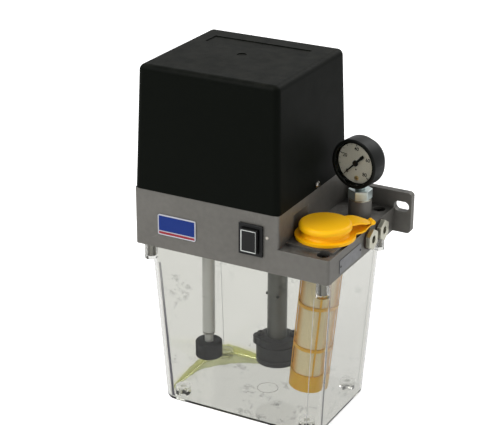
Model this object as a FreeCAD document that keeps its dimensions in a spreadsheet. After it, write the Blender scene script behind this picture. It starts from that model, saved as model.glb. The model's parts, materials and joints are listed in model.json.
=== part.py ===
import FreeCAD, Part
import math
import os
import re
import sys
import Sketcher

# Lubricating oil pump with a clear oil reservoir, a motor hood and a pressure gauge.
# Frame: X to the right, Y to the back, Z up, in millimetres. The origin is on the floor,
# under the middle of the footprint, and the reservoir stands on z = 0.

SIZES = {
    # base casting
    "casting_width": 200.0,
    "casting_depth": 142.0,
    "deck_height": 24.0,
    "seat_height": 56.0,
    "deck_width": 50.0,
    "seat_wall": 6.0,
    "casting_floor": 6.0,
    "casting_edge": 2.5,
    "flange_height": 41.0,
    "flange_thickness": 7.0,
    "ear_reach": 18.0,
    "ear_corner": 4.0,
    "slot_length": 15.5,
    "slot_height": 10.0,
    "slot_rise": 26.4,
    "slot_reach": 7.8,
    "screw_length": 29.0,
    "screw_inset": 10.4,
    "screw_diameter": 6.0,
    "screw_clearance": 0.6,
    "screw_head": 10.0,
    "screw_head_height": 6.0,
    "counterbore": 12.0,
    "counterbore_depth": 8.0,
    "screw_boss": 16.0,
    "pad_rise": 2.0,
    "pad_front": 31.0,
    "pad_back": 29.0,
    "relief_height": 23.0,
    "column_boss": 30.0,
    "boss_height": 15.0,
    "boss_diameter": 22.0,
    "boss_rise": 16.7,
    "gallery_bore": 5.0,
    "gallery_rise": 14.0,
    "gallery_rib": 14.0,
    "cap_relief": 1.2,
    # reservoir and its fixings
    "reservoir_height": 166.0,
    "reservoir_inset": 6.5,
    "reservoir_inset_y": 6.5,
    "reservoir_narrowing": 20.0,
    "reservoir_narrowing_y": 15.0,
    "reservoir_shift": 1.0,
    "reservoir_wall": 2.5,
    "foot_round": 2.0,
    "reservoir_corner": 14.0,
    "lug_diameter": 12.5,
    "lug_height": 15.0,
    "insert_diameter": 8.0,
    "insert_length": 12.0,
    "gasket_thickness": 2.0,
    "gasket_width": 2.5,
    "pillar_diameter": 15.0,
    "pillar_height": 8.0,
    "pillar_bore": 6.0,
    "pillar_inset_x": 16.0,
    "pillar_inset_y": 14.0,
    # hood
    "hood_depth": 143.0,
    "hood_height": 118.3,
    "hood_taper": 1.94,
    "hood_wall": 2.5,
    "hood_edge": 6.0,
    "recess_width": 102.0,
    "recess_depth": 20.0,
    "recess_back": 35.0,
    "recess_shift": -2.7,
    "recess_sink": 0.8,
    "dimple_diameter": 9.0,
    "hood_screw_rise": 4.2,
    "hood_screw_back": 77.5,
    "hood_screw_diameter": 4.0,
    "hood_screw_head": 7.0,
    "hood_tab_height": 12.0,
    "hood_tab_thickness": 5.0,
    "hood_tab_width": 14.0,
    "hood_tab_gap": 0.7,
    "hood_spot": 0.35,
    "hood_spot_gap": 0.3,
    "hood_screw_length": 8.0,
    "hood_screw_height": 2.2,
    "hood_tab_root": 14.0,
    # front panel
    "badge_inset": 45.2,
    "badge_rise": 24.4,
    "badge_width": 40.0,
    "badge_height": 20.0,
    "badge_thickness": 1.2,
    "badge_rim": 0.8,
    "switch_inset": 27.4,
    "switch_rise": 29.0,
    "bezel_width": 24.2,
    "bezel_height": 30.0,
    "bezel_thickness": 2.0,
    "switch_body_width": 21.6,
    "switch_body_height": 27.6,
    "switch_body_depth": 24.0,
    "panel_clearance": 0.2,
    "button_width": 16.8,
    "button_height": 22.4,
    "button_rise": 4.0,
    "button_depth": 14.0,
    "button_gap": 0.3,
    "button_round": 1.5,
    "lamp_gap": 16.0,
    "lamp_rise": 33.4,
    "lamp_diameter": 3.0,
    "lamp_proud": 0.8,
    "plate_y": -26.5,
    "plate_rise": 9.5,
    "plate_width": 46.0,
    "plate_height": 13.0,
    "plate_thickness": 0.6,
    # filler
    "filler_inset": 25.4,
    "filler_y": -26.5,
    "filler_bore": 44.0,
    "seat_bore": 48.0,
    "seat_depth": 5.0,
    "collar_diameter": 56.0,
    "collar_thickness": 2.8,
    "collar_neck": 42.0,
    "collar_mouth": 38.4,
    "collar_neck_height": 6.0,
    "collar_clearance": 0.4,
    "lid_diameter": 48.8,
    "lid_height": 5.2,
    "lid_round": 3.4,
    "lid_skin": 2.0,
    "lid_gap": 0.3,
    "plug_clearance": 0.5,
    "plug_depth": 5.0,
    "strap_angle": 50.0,
    "strap_reach": 46.5,
    "strap_root": 24.0,
    "strap_rise": 4.4,
    "strap_joint": 1.4,
    "strap_bend": 36.0,
    "strap_shoulder": 18.0,
    "strap_width": 21.0,
    "strap_tip_width": 7.0,
    "strap_thickness": 1.6,
    "strap_barrel": 1.3,
    "strap_knuckle": 2.3,
    "strap_eye": 3.0,
    "strap_play": 0.2,
    "strap_fit": 0.05,
    "strainer_tilt": 5.5,
    "strainer_rim": 2.0,
    "strainer_top": 36.6,
    "strainer_foot": 35.4,
    "strainer_wall": 1.4,
    "strainer_length": 150.5,
    "strainer_head": 28.0,
    "strainer_cup": 17.0,
    "strainer_ring": 3.0,
    "strainer_pitch": 44.0,
    "strainer_first_ring": 62.0,
    "strainer_window": 24.0,
    "strainer_turn": -11.0,
    "mesh_thickness": 0.4,
    "mesh_gap": 0.3,
    # gauge
    "gauge_inset": 20.5,
    "gauge_y": 37.5,
    "gauge_turn": -9.0,
    "gauge_rise": 28.0,
    "gauge_diameter": 47.8,
    "gauge_front": 14.0,
    "gauge_back": 11.0,
    "gauge_tail": 38.0,
    "gauge_tail_length": 8.0,
    "gauge_wall": 2.0,
    "dial_view": 41.4,
    "lens_diameter": 42.4,
    "lens_thickness": 1.5,
    "lens_sink": 1.2,
    "dial_thickness": 1.0,
    "dial_sink": 5.7,
    "dial_hole": 3.0,
    "needle_length": 16.4,
    "needle_tail": 12.0,
    "needle_thickness": 0.6,
    "needle_hub": 5.0,
    "needle_arbor": 1.8,
    "needle_arbor_length": 6.0,
    "needle_lift": 1.2,
    "needle_angle": 225.0,
    "needle_width": 1.2,
    "stem_neck": 8.0,
    "stem_diameter": 10.0,
    "stem_block": 12.0,
    "stem_shoulder": 2.0,
    "stem_depth": 14.3,
    "movement_width": 10.0,
    "movement_drop": 10.0,
    "movement_rise": 5.0,
    "movement_depth": 8.3,
    "adapter_flats": 20.0,
    "adapter_height": 9.0,
    "adapter_spigot": 12.0,
    "adapter_spigot_length": 9.0,
    "adapter_bore": 3.0,
    "adapter_thread_depth": 7.0,
    "gauge_washer": 1.2,
    "bourdon_radius": 13.0,
    "bourdon_tube": 2.0,
    "bourdon_depth": 1.5,
    "bourdon_start": 122.0,
    "bourdon_sweep": 250.0,
    # outlets
    "outlet_y": 12.5,
    "outlet_pitch": 25.0,
    "outlet_thread": 12.0,
    "outlet_thread_length": 11.0,
    "outlet_clearance": 0.05,
    "outlet_flats": 18.0,
    "outlet_head": 4.4,
    "outlet_bore": 7.6,
    "outlet_bore_depth": 10.0,
    "outlet_orifice": 4.0,
    "washer_diameter": 20.0,
    "washer_thickness": 1.5,
    "gallery_plug": 8.0,
    "gallery_plug_length": 6.0,
    # level switch
    "float_inset": 46.4,
    "float_y": -15.0,
    "tube_diameter": 12.4,
    "tube_foot": 62.0,
    "tube_head": 20.0,
    "tube_head_height": 4.0,
    "stem_grip": 28.0,
    "stem_rod": 8.4,
    "stem_foot": 31.5,
    "float_diameter": 26.5,
    "float_height": 16.5,
    "float_foot": 35.2,
    "float_gap": 0.4,
    "float_stop": 1.2,
    "float_stop_diameter": 12.0,
    "float_travel": 8.0,
    # pump
    "pump_inset": 44.0,
    "pump_y": 15.0,
    "column_diameter": 19.4,
    "pin_height": 104.0,
    "pin_diameter": 3.0,
    "pin_turn": 28.0,
    "column_head": 38.0,
    "column_head_height": 5.0,
    "column_spigot": 22.0,
    "spigot_height": 26.0,
    "spigot_bore": 12.0,
    "spigot_clearance": 0.1,
    "bush_height": 4.0,
    "seal_height": 4.0,
    "bush_wall": 1.5,
    "shaft_bore": 14.0,
    "shaft_diameter": 5.0,
    "shaft_clearance": 0.05,
    "pump_top": 58.0,
    "pump_split": 44.0,
    "pump_foot": 32.0,
    "pump_body": 36.6,
    "pump_cover": 40.7,
    "cover_wall": 2.0,
    "cover_top": 5.4,
    "cover_skirt": 7.0,
    "cover_groove": 1.2,
    "screen_thickness": 0.8,
    "screen_hole": 3.2,
    "pump_lug": 7.9,
    "pump_lug_reach": 15.5,
    "pump_lug_angle": 28.0,
    "pump_screw": 4.0,
    "pump_screw_head": 7.0,
    "pump_screw_head_height": 4.0,
    "gear_teeth": 10,
    "gear_module": 1.0,
    "gear_face": 8.0,
    "gear_gap": 0.3,
    "gear_outer": 5.8,
    "gear_root": 3.7,
    "gear_clearance": 0.2,
    "idler_angle": 118.0,
    "port_diameter": 2.0,
    "port_reach": 5.8,
    "suction_port": 4.0,
    "idler_pin": 4.0,
    "pin_grip": 4.0,
    # motor and controls
    "stand_diameter": 64.0,
    "stand_height": 42.0,
    "stand_wall": 4.0,
    "stand_opening": 24.0,
    "leg_diameter": 9.0,
    "leg_reach": 26.0,
    "small_screw": 4.0,
    "small_head": 7.0,
    "small_head_height": 3.0,
    "stand_grip": 8.0,
    "motor_grip": 6.0,
    "motor_screw_reach": 24.0,
    "motor_diameter": 66.0,
    "motor_length": 84.0,
    "motor_wall": 3.0,
    "motor_shield": 9.0,
    "stator_bore": 42.0,
    "rotor_diameter": 40.0,
    "rotor_length": 46.0,
    "motor_shaft": 8.0,
    "bearing_diameter": 22.0,
    "bearing_width": 6.0,
    "coupling_diameter": 18.0,
    "coupling_length": 18.0,
    "shaft_grip": 8.0,
    "board_inset": 34.0,
    "board_width": 90.0,
    "board_height": 72.0,
    "board_thickness": 1.6,
    "board_lift": 5.0,
    "bracket_foot": 14.0,
    "bracket_height": 18.0,
    "bracket_sheet": 1.6,
    "terminal_width": 60.0,
    "terminal_depth": 12.0,
    "terminal_height": 11.0,
    "terminal_rise": 20.0,
    "gland_y": 20.0,
    "gland_rise": 32.0,
    "gland_thread": 16.0,
    "gland_flats": 20.0,
    "gland_hex": 6.0,
    "gland_dome": 10.0,
    "gland_round": 2.5,
    "gland_bore": 8.0,
    "gland_nut_height": 5.0,
}

# Places that follow from the sizes; each is a formula cell of the same sheet.
PLACES = {
    "casting_foot": "reservoir_height + gasket_thickness",
    "deck_top": "casting_foot + deck_height",
    "seat_top": "casting_foot + seat_height",
    "floor_top": "casting_foot + casting_floor",
    "pad_top": "deck_top + pad_rise",
    "half_width": "casting_width / 2",
    "seat_width": "casting_width - deck_width",
    "switch_proud": "bezel_thickness + button_rise",
    "front": "-(casting_depth + flange_thickness - switch_proud) / 2",
    "back": "front + casting_depth",
    "rear": "back + flange_thickness",
    "seat_right": "seat_width - half_width",
    "seat_middle": "(seat_right - half_width) / 2",
    "badge_x": "badge_inset - half_width",
    "switch_x": "seat_right - switch_inset",
    "lamp_x": "switch_x + lamp_gap",
    "filler_x": "half_width - filler_inset",
    "gauge_x": "half_width - gauge_inset",
    "float_x": "float_inset - half_width",
    "pump_x": "seat_right - pump_inset",
    "board_x": "board_inset - half_width",
    "reservoir_top_width": "casting_width - 2 * reservoir_inset",
    "reservoir_top_depth": "casting_depth - 2 * reservoir_inset_y",
    "reservoir_base_width": "reservoir_top_width - reservoir_narrowing",
    "reservoir_base_depth": "reservoir_top_depth - reservoir_narrowing_y",
    "pillar_reach_x": "reservoir_base_width / 2 - pillar_inset_x",
    "pillar_reach_y": "reservoir_base_depth / 2 - pillar_inset_y",
    "screw_x": "half_width - screw_inset",
    "screw_front": "front + screw_inset",
    "screw_back": "back - screw_inset",
    "screw_seat": "deck_top - counterbore_depth",
    "boss_top": "deck_top + boss_rise",
    "gallery_z": "casting_foot + gallery_rise",
    "outlet_rear_y": "outlet_y + outlet_pitch",
    "gauge_z": "boss_top + gauge_washer + adapter_height + gauge_rise",
    "collar_top": "pad_top + collar_thickness",
    "neck_top": "collar_top + collar_neck_height",
    "lid_foot": "neck_top + lid_gap",
    "strap_z": "collar_top + strap_rise",
    "strainer_seat": "pad_top - seat_depth",
    "strainer_z": "strainer_seat + strainer_rim",
    "hood_top": "seat_top + hood_height",
    "hood_middle": "(front + back) / 2",
    "hood_screw_z": "seat_top + hood_screw_rise",
    "hood_screw_y": "front + hood_screw_back",
    "switch_z": "casting_foot + switch_rise",
    "cover_rim": "pump_split + cover_skirt",
    "gear_pitch": "gear_teeth * gear_module",
    "gear_top": "pump_split + gear_face + gear_gap",
    "stand_top": "floor_top + stand_height",
    "coupling_foot": "casting_foot + spigot_height + 1",
    "board_foot": "floor_top + board_lift",
    "gland_z": "casting_foot + gland_rise",
}

ALIASES = set(SIZES) | set(PLACES)
PARTS_FOLDER = "parts"
VECTOR = FreeCAD.Vector

document = FreeCAD.newDocument("oil_pump")
sheet = document.addObject("Spreadsheet::Sheet", "Sizes")
finished = []


def ref(text):
    """Write the sheet's name before each of its aliases in an expression."""
    return re.sub(r"[a-z][a-z_0-9]*", lambda word: "Sizes." + word[0] if word[0] in ALIASES else word[0], text)


def fill_sheet():
    """Put every size, then every place that follows from them, into the sheet."""
    rows = [(name, str(value)) for name, value in SIZES.items()]
    rows += [(name, "=" + formula) for name, formula in PLACES.items()]
    for row, (name, content) in enumerate(rows, start=1):
        sheet.set(f"A{row}", name)
        sheet.set(f"B{row}", content)
        sheet.setAlias(f"B{row}", name)
    document.recompute()


def size(name):
    """Read one value of the sheet as a plain number."""
    return float(sheet.get(name))


def bind(item, **formulas):
    """Tie properties of an object to the sheet."""
    for name, formula in formulas.items():
        item.setExpression(name, ref(formula))
    return item


def place(item, x="0", y="0", z="0", turn=None, axis=(0, 0, 1)):
    """Tie an object's place, and where given its turn about an axis, to the sheet."""
    if turn is not None:
        item.Placement = FreeCAD.Placement(VECTOR(), FreeCAD.Rotation(VECTOR(*axis), 1.0))
        item.setExpression("Placement.Rotation.Angle", ref(turn))
    for letter, formula in zip("xyz", (x, y, z)):
        item.setExpression(f"Placement.Base.{letter}", ref(formula))
    return item


def finish(item, node):
    """Name a finished sub-part after its node."""
    item.Label = node
    finished.append(item)
    return item


def new_body(name):
    return document.addObject("PartDesign::Body", name)


def new_sketch(body, name, role, lift, turn=None, turn_axis=(0, 0, 1)):
    """Attach an empty sketch to one of the body's own origin planes."""
    sketch = body.newObject("Sketcher::SketchObject", name)
    plane = next(item for item in body.Origin.OriginFeatures if item.Role == role)
    sketch.AttachmentSupport = (plane, [""])
    sketch.MapMode = "FlatFace"
    if turn is not None:
        sketch.AttachmentOffset = FreeCAD.Placement(VECTOR(), FreeCAD.Rotation(VECTOR(*turn_axis), 1.0))
        sketch.setExpression("AttachmentOffset.Rotation.Angle", ref(turn))
    sketch.setExpression("AttachmentOffset.Base.z", ref(lift))
    return sketch


def add_loop(sketch, points):
    """Add a closed outline whose corners are dimensioned from the sketch's origin."""
    count = len(points)
    first = sketch.GeometryCount
    dimensions = sketch.ConstraintCount
    ring = [VECTOR(50 * math.cos(2 * math.pi * i / count + 0.1), 50 * math.sin(2 * math.pi * i / count + 0.1), 0)
            for i in range(count)]
    for i in range(count):
        sketch.addGeometry(Part.LineSegment(ring[i], ring[(i + 1) % count]))
    rules = [Sketcher.Constraint("Coincident", first + i, 2, first + (i + 1) % count, 1) for i in range(count)]
    for i in range(count):
        rules.append(Sketcher.Constraint("DistanceX", -1, 1, first + i, 1, ring[i].x))
        rules.append(Sketcher.Constraint("DistanceY", -1, 1, first + i, 1, ring[i].y))
    sketch.addConstraint(rules)
    for i, (across, up) in enumerate(points):
        index = dimensions + count + 2 * i
        sketch.renameConstraint(index, f"across_{first + i}")
        sketch.renameConstraint(index + 1, f"up_{first + i}")
        sketch.setExpression(f"Constraints.across_{first + i}", ref(across))
        sketch.setExpression(f"Constraints.up_{first + i}", ref(up))


def outline(body, name, role, lift, points, **turned):
    sketch = new_sketch(body, name, role, lift, **turned)
    add_loop(sketch, points)
    return sketch


def rectangle(body, name, role, lift, low_x, high_x, low_y, high_y, **turned):
    corners = [(low_x, low_y), (high_x, low_y), (high_x, high_y), (low_x, high_y)]
    return outline(body, name, role, lift, corners, **turned)


def circles(body, name, role, lift, centres, diameter, **turned):
    """Draw equal circles, each centre dimensioned from the sketch's origin."""
    sketch = new_sketch(body, name, role, lift, **turned)
    for i, (across, up) in enumerate(centres):
        start = VECTOR(10.0 * i + 5.0, 5.0, 0)
        sketch.addGeometry(Part.Circle(start, VECTOR(0, 0, 1), 4.0))
        rules = [Sketcher.Constraint("Diameter", i, 8.0), Sketcher.Constraint("DistanceX", -1, 1, i, 3, start.x),
                 Sketcher.Constraint("DistanceY", -1, 1, i, 3, start.y)]
        sketch.addConstraint(rules)
        for offset, (label, formula) in enumerate((("wide", diameter), ("across", across), ("up", up))):
            sketch.renameConstraint(3 * i + offset, f"{label}_{i}")
            sketch.setExpression(f"Constraints.{label}_{i}", ref(formula))
    return sketch


def hexagon(body, name, role, lift, across="0", up="0", flats="10"):
    corners = [(f"{across} + {flats} / (2 * cos(30)) * cos({angle})",
                f"{up} + {flats} / (2 * cos(30)) * sin({angle})") for angle in range(30, 390, 60)]
    return outline(body, name, role, lift, corners)


def pad(body, name, sketch, length, **settings):
    """Extrude a sketch along its plane's normal; settings hold Reversed, Midplane or TaperAngle."""
    feature = body.newObject("PartDesign::Pad", name)
    feature.Profile = sketch
    bind(feature, Length=length)
    for key, value in settings.items():
        if isinstance(value, str):
            bind(feature, **{key: value})
        else:
            setattr(feature, key, value)
    return feature


def pocket(body, name, sketch, depth=None, **settings):
    """Cut a sketch against its plane's normal, to a depth or right through."""
    feature = body.newObject("PartDesign::Pocket", name)
    feature.Profile = sketch
    if depth is None:
        feature.Type = "ThroughAll"
    else:
        bind(feature, Length=depth)
    for key, value in settings.items():
        setattr(feature, key, value)
    return feature


def revolve(body, name, sketch, angle=None, kind="Revolution"):
    """Turn a half section about the sketch's upright axis; kind Groove cuts it out."""
    feature = body.newObject("PartDesign::" + kind, name)
    feature.Profile = sketch
    feature.ReferenceAxis = (sketch, ["V_Axis"])
    feature.Angle = 360.0
    if angle is not None:
        bind(feature, Angle=angle)
    return feature


def repeat_round(body, name, features, count):
    """Repeat features about the body's Z axis."""
    pattern = body.newObject("PartDesign::PolarPattern", name)
    pattern.Originals = features
    axis = next(item for item in body.Origin.OriginFeatures if item.Role == "Z_Axis")
    pattern.Axis = (axis, [""])
    pattern.Angle = 360.0
    pattern.Occurrences = count
    body.Tip = pattern
    return pattern


def near(value, target):
    return abs(value - target) < 0.01


def cylinder(name, x, y, z, radius, height):
    item = document.addObject("Part::Cylinder", name)
    bind(item, Radius=radius, Height=height)
    return place(item, x, y, z)


def box(name, x, y, z, length, width, height):
    item = document.addObject("Part::Box", name)
    bind(item, Length=length, Width=width, Height=height)
    return place(item, x, y, z)


def fuse(name, *shapes):
    item = document.addObject("Part::MultiFuse", name)
    item.Shapes = list(shapes)
    return item


def cut(name, base, *tools):
    item = document.addObject("Part::Cut", name)
    item.Base = base
    item.Tool = tools[0] if len(tools) == 1 else fuse(name + "Tools", *tools)
    return item


def group(name, shapes):
    """Keep equal pieces, such as screws, together as separate solids."""
    item = document.addObject("Part::Compound", name)
    item.Links = list(shapes)
    return item


def turned(name, profile, x="0", y="0", z="0", role="XZ_Plane", axis="V_Axis", turn=None, about=(0, 0, 1)):
    """Make a body by turning a half section about one axis of its sketch."""
    body = new_body(name)
    feature = revolve(body, "Turned", outline(body, "Section", role, "0", profile))
    feature.ReferenceAxis = (feature.Profile[0], [axis])
    return place(body, x, y, z, turn, about)


def spread(radius, angles):
    """Centres on a circle round the sketch's origin."""
    return [(f"{radius} * cos({angle})", f"{radius} * sin({angle})") for angle in angles]


def sockets(body, name, lift, centres, flats, role="XY_Plane"):
    """Draw one hexagon socket on each centre."""
    sketch = new_sketch(body, name, role, lift)
    for across, up in centres:
        add_loop(sketch, [(f"{across} + {flats} / (2 * cos(30)) * cos({angle})",
                           f"{up} + {flats} / (2 * cos(30)) * sin({angle})") for angle in range(30, 390, 60)])
    return sketch


def upright(low, high, test):
    """Test for edges that run from one height to another and pass a test in plan."""
    def passes(edge):
        ends = [vertex.Point for vertex in edge.Vertexes]
        heights = sorted(point.z for point in ends)
        return (len(ends) == 2 and near(heights[0], low) and near(heights[1], high)
                and all(test(point) for point in ends))
    return passes


def runs_along(edge, letter):
    """True for a straight edge parallel to one axis of its body."""
    ends = [vertex.Point for vertex in edge.Vertexes]
    others = [other for other in "xyz" if other != letter]
    return len(ends) == 2 and all(near(getattr(ends[0], other), getattr(ends[1], other)) for other in others)


def dress(body, name, base, passes, amount, kind="Fillet"):
    """Round or bevel the edges of a feature that pass a test on the whole edge."""
    document.recompute()
    names = [f"Edge{i}" for i, edge in enumerate(base.Shape.Edges, start=1) if passes(edge)]
    feature = body.newObject("PartDesign::" + kind, name)
    feature.Base = (base, names)
    return bind(feature, **{"Radius" if kind == "Fillet" else "Size": amount})


def lean_sides(body, name, base, across, angle, outward):
    """Lean the side faces that look along X, or along Y, about the foot of the feature."""
    document.recompute()
    faces = base.Shape.Faces
    foot = min(range(len(faces)), key=lambda i: faces[i].CenterOfMass.z)
    sides = [f"Face{i}" for i, face in enumerate(faces, start=1)
             if abs(getattr(face.normalAt(0, 0), across)) > 0.9]
    feature = body.newObject("PartDesign::Draft", name)
    feature.Base = (base, sides)
    feature.NeutralPlane = (base, [f"Face{foot + 1}"])
    feature.Reversed = outward
    return bind(feature, Angle=angle)


def shell_out(body, name, base, height, wall):
    """Hollow a feature, leaving it open on the face at the given height."""
    document.recompute()
    faces = enumerate(base.Shape.Faces, start=1)
    feature = body.newObject("PartDesign::Thickness", name)
    feature.Base = (base, [next(f"Face{i}" for i, face in faces if near(face.CenterOfMass.z, height))])
    feature.Reversed = True
    feature.Join = 1
    return bind(feature, Value=wall)


def four_corners():
    return [("screw_x", "screw_front"), ("screw_x", "screw_back"),
            ("-screw_x", "screw_front"), ("-screw_x", "screw_back")]


# Base casting: deck, hood seat, wall flange, gauge boss and filler pad in one piece.

def base_casting():
    body = new_body("Casting")
    flat, side, face = "XY_Plane", "YZ_Plane", "XZ_Plane"
    pad(body, "Deck", rectangle(body, "DeckOutline", flat, "casting_foot", "-half_width", "half_width",
                                "front", "back"), "deck_height")
    seat = pad(body, "Seat", rectangle(body, "SeatOutline", flat, "casting_foot", "-half_width", "seat_right",
                                       "front", "back"), "seat_height")
    foot, deck, top = size("casting_foot"), size("deck_top"), size("seat_top")

    def at_front(point, x):
        return near(point.x, x) and near(point.y, size("front"))

    tests = [upright(foot, deck, lambda p: at_front(p, size("half_width"))),
             upright(deck, top, lambda p: at_front(p, size("seat_right"))),
             upright(foot, top, lambda p: at_front(p, -size("half_width")))]
    dress(body, "FrontCorners", seat, lambda edge: any(test(edge) for test in tests), "casting_edge")
    wall = pad(body, "Flange", rectangle(body, "FlangeOutline", flat, "casting_foot", "-half_width - ear_reach",
                                         "half_width + ear_reach", "back", "rear"), "flange_height")
    reach = size("half_width") + size("ear_reach")
    dress(body, "EarCorners", wall,
          lambda edge: all(near(abs(v.Point.x), reach) for v in edge.Vertexes) and runs_along(edge, "y"),
          "ear_corner")
    pad(body, "FillerPad", rectangle(body, "FillerPadOutline", flat, "deck_top", "seat_right - 1",
                                     "half_width - casting_edge", "filler_y - pad_front", "filler_y + pad_back"),
        "pad_rise")
    pad(body, "GaugeBoss", circles(body, "GaugeBossOutline", flat, "deck_top", [("gauge_x", "gauge_y")],
                                   "boss_diameter"), "boss_rise")
    pocket(body, "Cavity", rectangle(body, "CavityOutline", flat, "seat_top", "seat_wall - half_width",
                                     "seat_right - seat_wall", "front + seat_wall", "back - seat_wall"),
           "seat_height - casting_floor")
    pad(body, "ScrewBosses", circles(body, "ScrewBossOutline", flat, "floor_top", four_corners()[2:], "screw_boss"),
        "screw_seat - floor_top")
    pad(body, "ColumnBoss", circles(body, "ColumnBossOutline", flat, "floor_top", [("pump_x", "pump_y")],
                                    "column_boss"), "boss_height")
    pad(body, "GalleryRib", rectangle(body, "GalleryRibOutline", flat, "floor_top", "pump_x",
                                      "seat_right - seat_wall / 2", "outlet_y - gallery_rib / 2",
                                      "outlet_y + gallery_rib / 2"), "boss_height")
    pad(body, "LeftHoodTab", rectangle(body, "LeftHoodTabOutline", flat, "seat_top - hood_tab_root",
                                       "-half_width + hood_wall + hood_tab_gap",
                                       "-half_width + hood_wall + hood_tab_gap + hood_tab_thickness",
                                       "hood_screw_y - hood_tab_width / 2", "hood_screw_y + hood_tab_width / 2"),
        "hood_tab_root + hood_tab_height")
    pad(body, "RightHoodTab", rectangle(body, "RightHoodTabOutline", flat, "seat_top - hood_tab_root",
                                        "seat_right - hood_wall - hood_tab_gap - hood_tab_thickness",
                                        "seat_right - hood_wall - hood_tab_gap",
                                        "hood_screw_y - hood_tab_width / 2", "hood_screw_y + hood_tab_width / 2"),
        "hood_tab_root + hood_tab_height")
    pocket(body, "HoodScrewHoles", circles(body, "HoodScrewHoleCentres", side, "seat_right",
                                           [("hood_screw_y", "hood_screw_z")], "hood_screw_diameter + 0.1"))
    pocket(body, "CapRelief", circles(body, "CapReliefOutline", flat, "deck_top + relief_height",
                                      [("filler_x", "filler_y")], "collar_diameter + 2 * cap_relief"),
           "relief_height - pad_rise")
    pocket(body, "Counterbores", circles(body, "CounterboreCentres", flat, "seat_top", four_corners(), "counterbore"),
           "seat_top - screw_seat")
    pocket(body, "ScrewHoles", circles(body, "ScrewHoleCentres", flat, "screw_seat", four_corners(),
                                       "screw_diameter + screw_clearance"))
    pocket(body, "FillerBore", circles(body, "FillerBoreCentre", flat, "pad_top", [("filler_x", "filler_y")],
                                       "filler_bore"))
    pocket(body, "StrainerSeat", circles(body, "StrainerSeatCentre", flat, "pad_top", [("filler_x", "filler_y")],
                                         "seat_bore"), "seat_depth")
    pocket(body, "ColumnHole", circles(body, "ColumnHoleCentre", flat, "floor_top + boss_height",
                                       [("pump_x", "pump_y")], "column_spigot"))
    pocket(body, "FloatHole", circles(body, "FloatHoleCentre", flat, "floor_top", [("float_x", "float_y")],
                                      "tube_diameter + 0.2"))
    legs = [(f"pump_x + leg_reach * cos({angle})", f"pump_y + leg_reach * sin({angle})") for angle in (45, 135, 225, 315)]
    pocket(body, "LegHoles", circles(body, "LegHoleCentres", flat, "floor_top", legs, "small_screw + 0.4"))
    outlets = [("outlet_y", "gallery_z"), ("outlet_rear_y", "gallery_z")]
    pocket(body, "OutletThreads", circles(body, "OutletThreadCentres", side, "half_width", outlets, "outlet_thread"),
           "outlet_thread_length + 1")
    pocket(body, "FrontGallery", circles(body, "FrontGalleryCentre", side, "half_width", outlets[:1], "gallery_bore"),
           "half_width - pump_x")
    pocket(body, "RearGallery", circles(body, "RearGalleryCentre", side, "half_width", outlets[1:], "gallery_bore"),
           "half_width - gauge_x")
    pocket(body, "CrossGallery", circles(body, "CrossGalleryCentre", face, "-outlet_y", [("gauge_x", "gallery_z")],
                                         "gallery_bore"), "rear - outlet_y")
    pocket(body, "PlugThread", circles(body, "PlugThreadCentre", face, "gallery_plug_length + 0.5 - rear",
                                       [("gauge_x", "gallery_z")], "gallery_plug"), "gallery_plug_length + 0.5")
    pocket(body, "GaugeThread", circles(body, "GaugeThreadCentre", flat, "boss_top", [("gauge_x", "gauge_y")],
                                        "adapter_spigot"), "adapter_spigot_length + 1")
    pocket(body, "GaugeGallery", circles(body, "GaugeGalleryCentre", flat, "boss_top", [("gauge_x", "gauge_y")],
                                         "gallery_bore"), "boss_top - gallery_z")
    pocket(body, "SwitchOpening", rectangle(
        body, "SwitchOpeningOutline", face, "-front", "switch_x - switch_body_width / 2 - panel_clearance",
        "switch_x + switch_body_width / 2 + panel_clearance", "switch_z - switch_body_height / 2 - panel_clearance",
        "switch_z + switch_body_height / 2 + panel_clearance"), "seat_wall + 1")
    pocket(body, "LampHole", circles(body, "LampHoleCentre", face, "-front", [("lamp_x", "casting_foot + lamp_rise")],
                                     "lamp_diameter + 0.1"), "seat_wall + 1")
    pocket(body, "GlandHole", circles(body, "GlandHoleCentre", side, "seat_wall + 1 - half_width",
                                      [("gland_y", "gland_z")], "gland_thread + 0.2"), "seat_wall + 2")
    ends = [f"{sign}(half_width + slot_reach)" for sign in ("", "-")]
    slot = new_sketch(body, "EarSlotMiddles", face, "-back")
    for end in ends:
        add_loop(slot, [(f"{end} {a} (slot_length - slot_height) / 2", f"casting_foot + slot_rise {b} slot_height / 2")
                        for a, b in (("-", "-"), ("+", "-"), ("+", "+"), ("-", "+"))])
    pocket(body, "EarSlots", slot, "flange_thickness + 1")
    rounds = [(f"{end} {a} (slot_length - slot_height) / 2", "casting_foot + slot_rise") for end in ends for a in "-+"]
    pocket(body, "EarSlotEnds", circles(body, "EarSlotEndCentres", face, "-back", rounds, "slot_height"),
           "flange_thickness + 1")
    return finish(body, "base_casting")


# Motor hood: a tapered moulded shell with rounded edges that stands on the seat.

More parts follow.
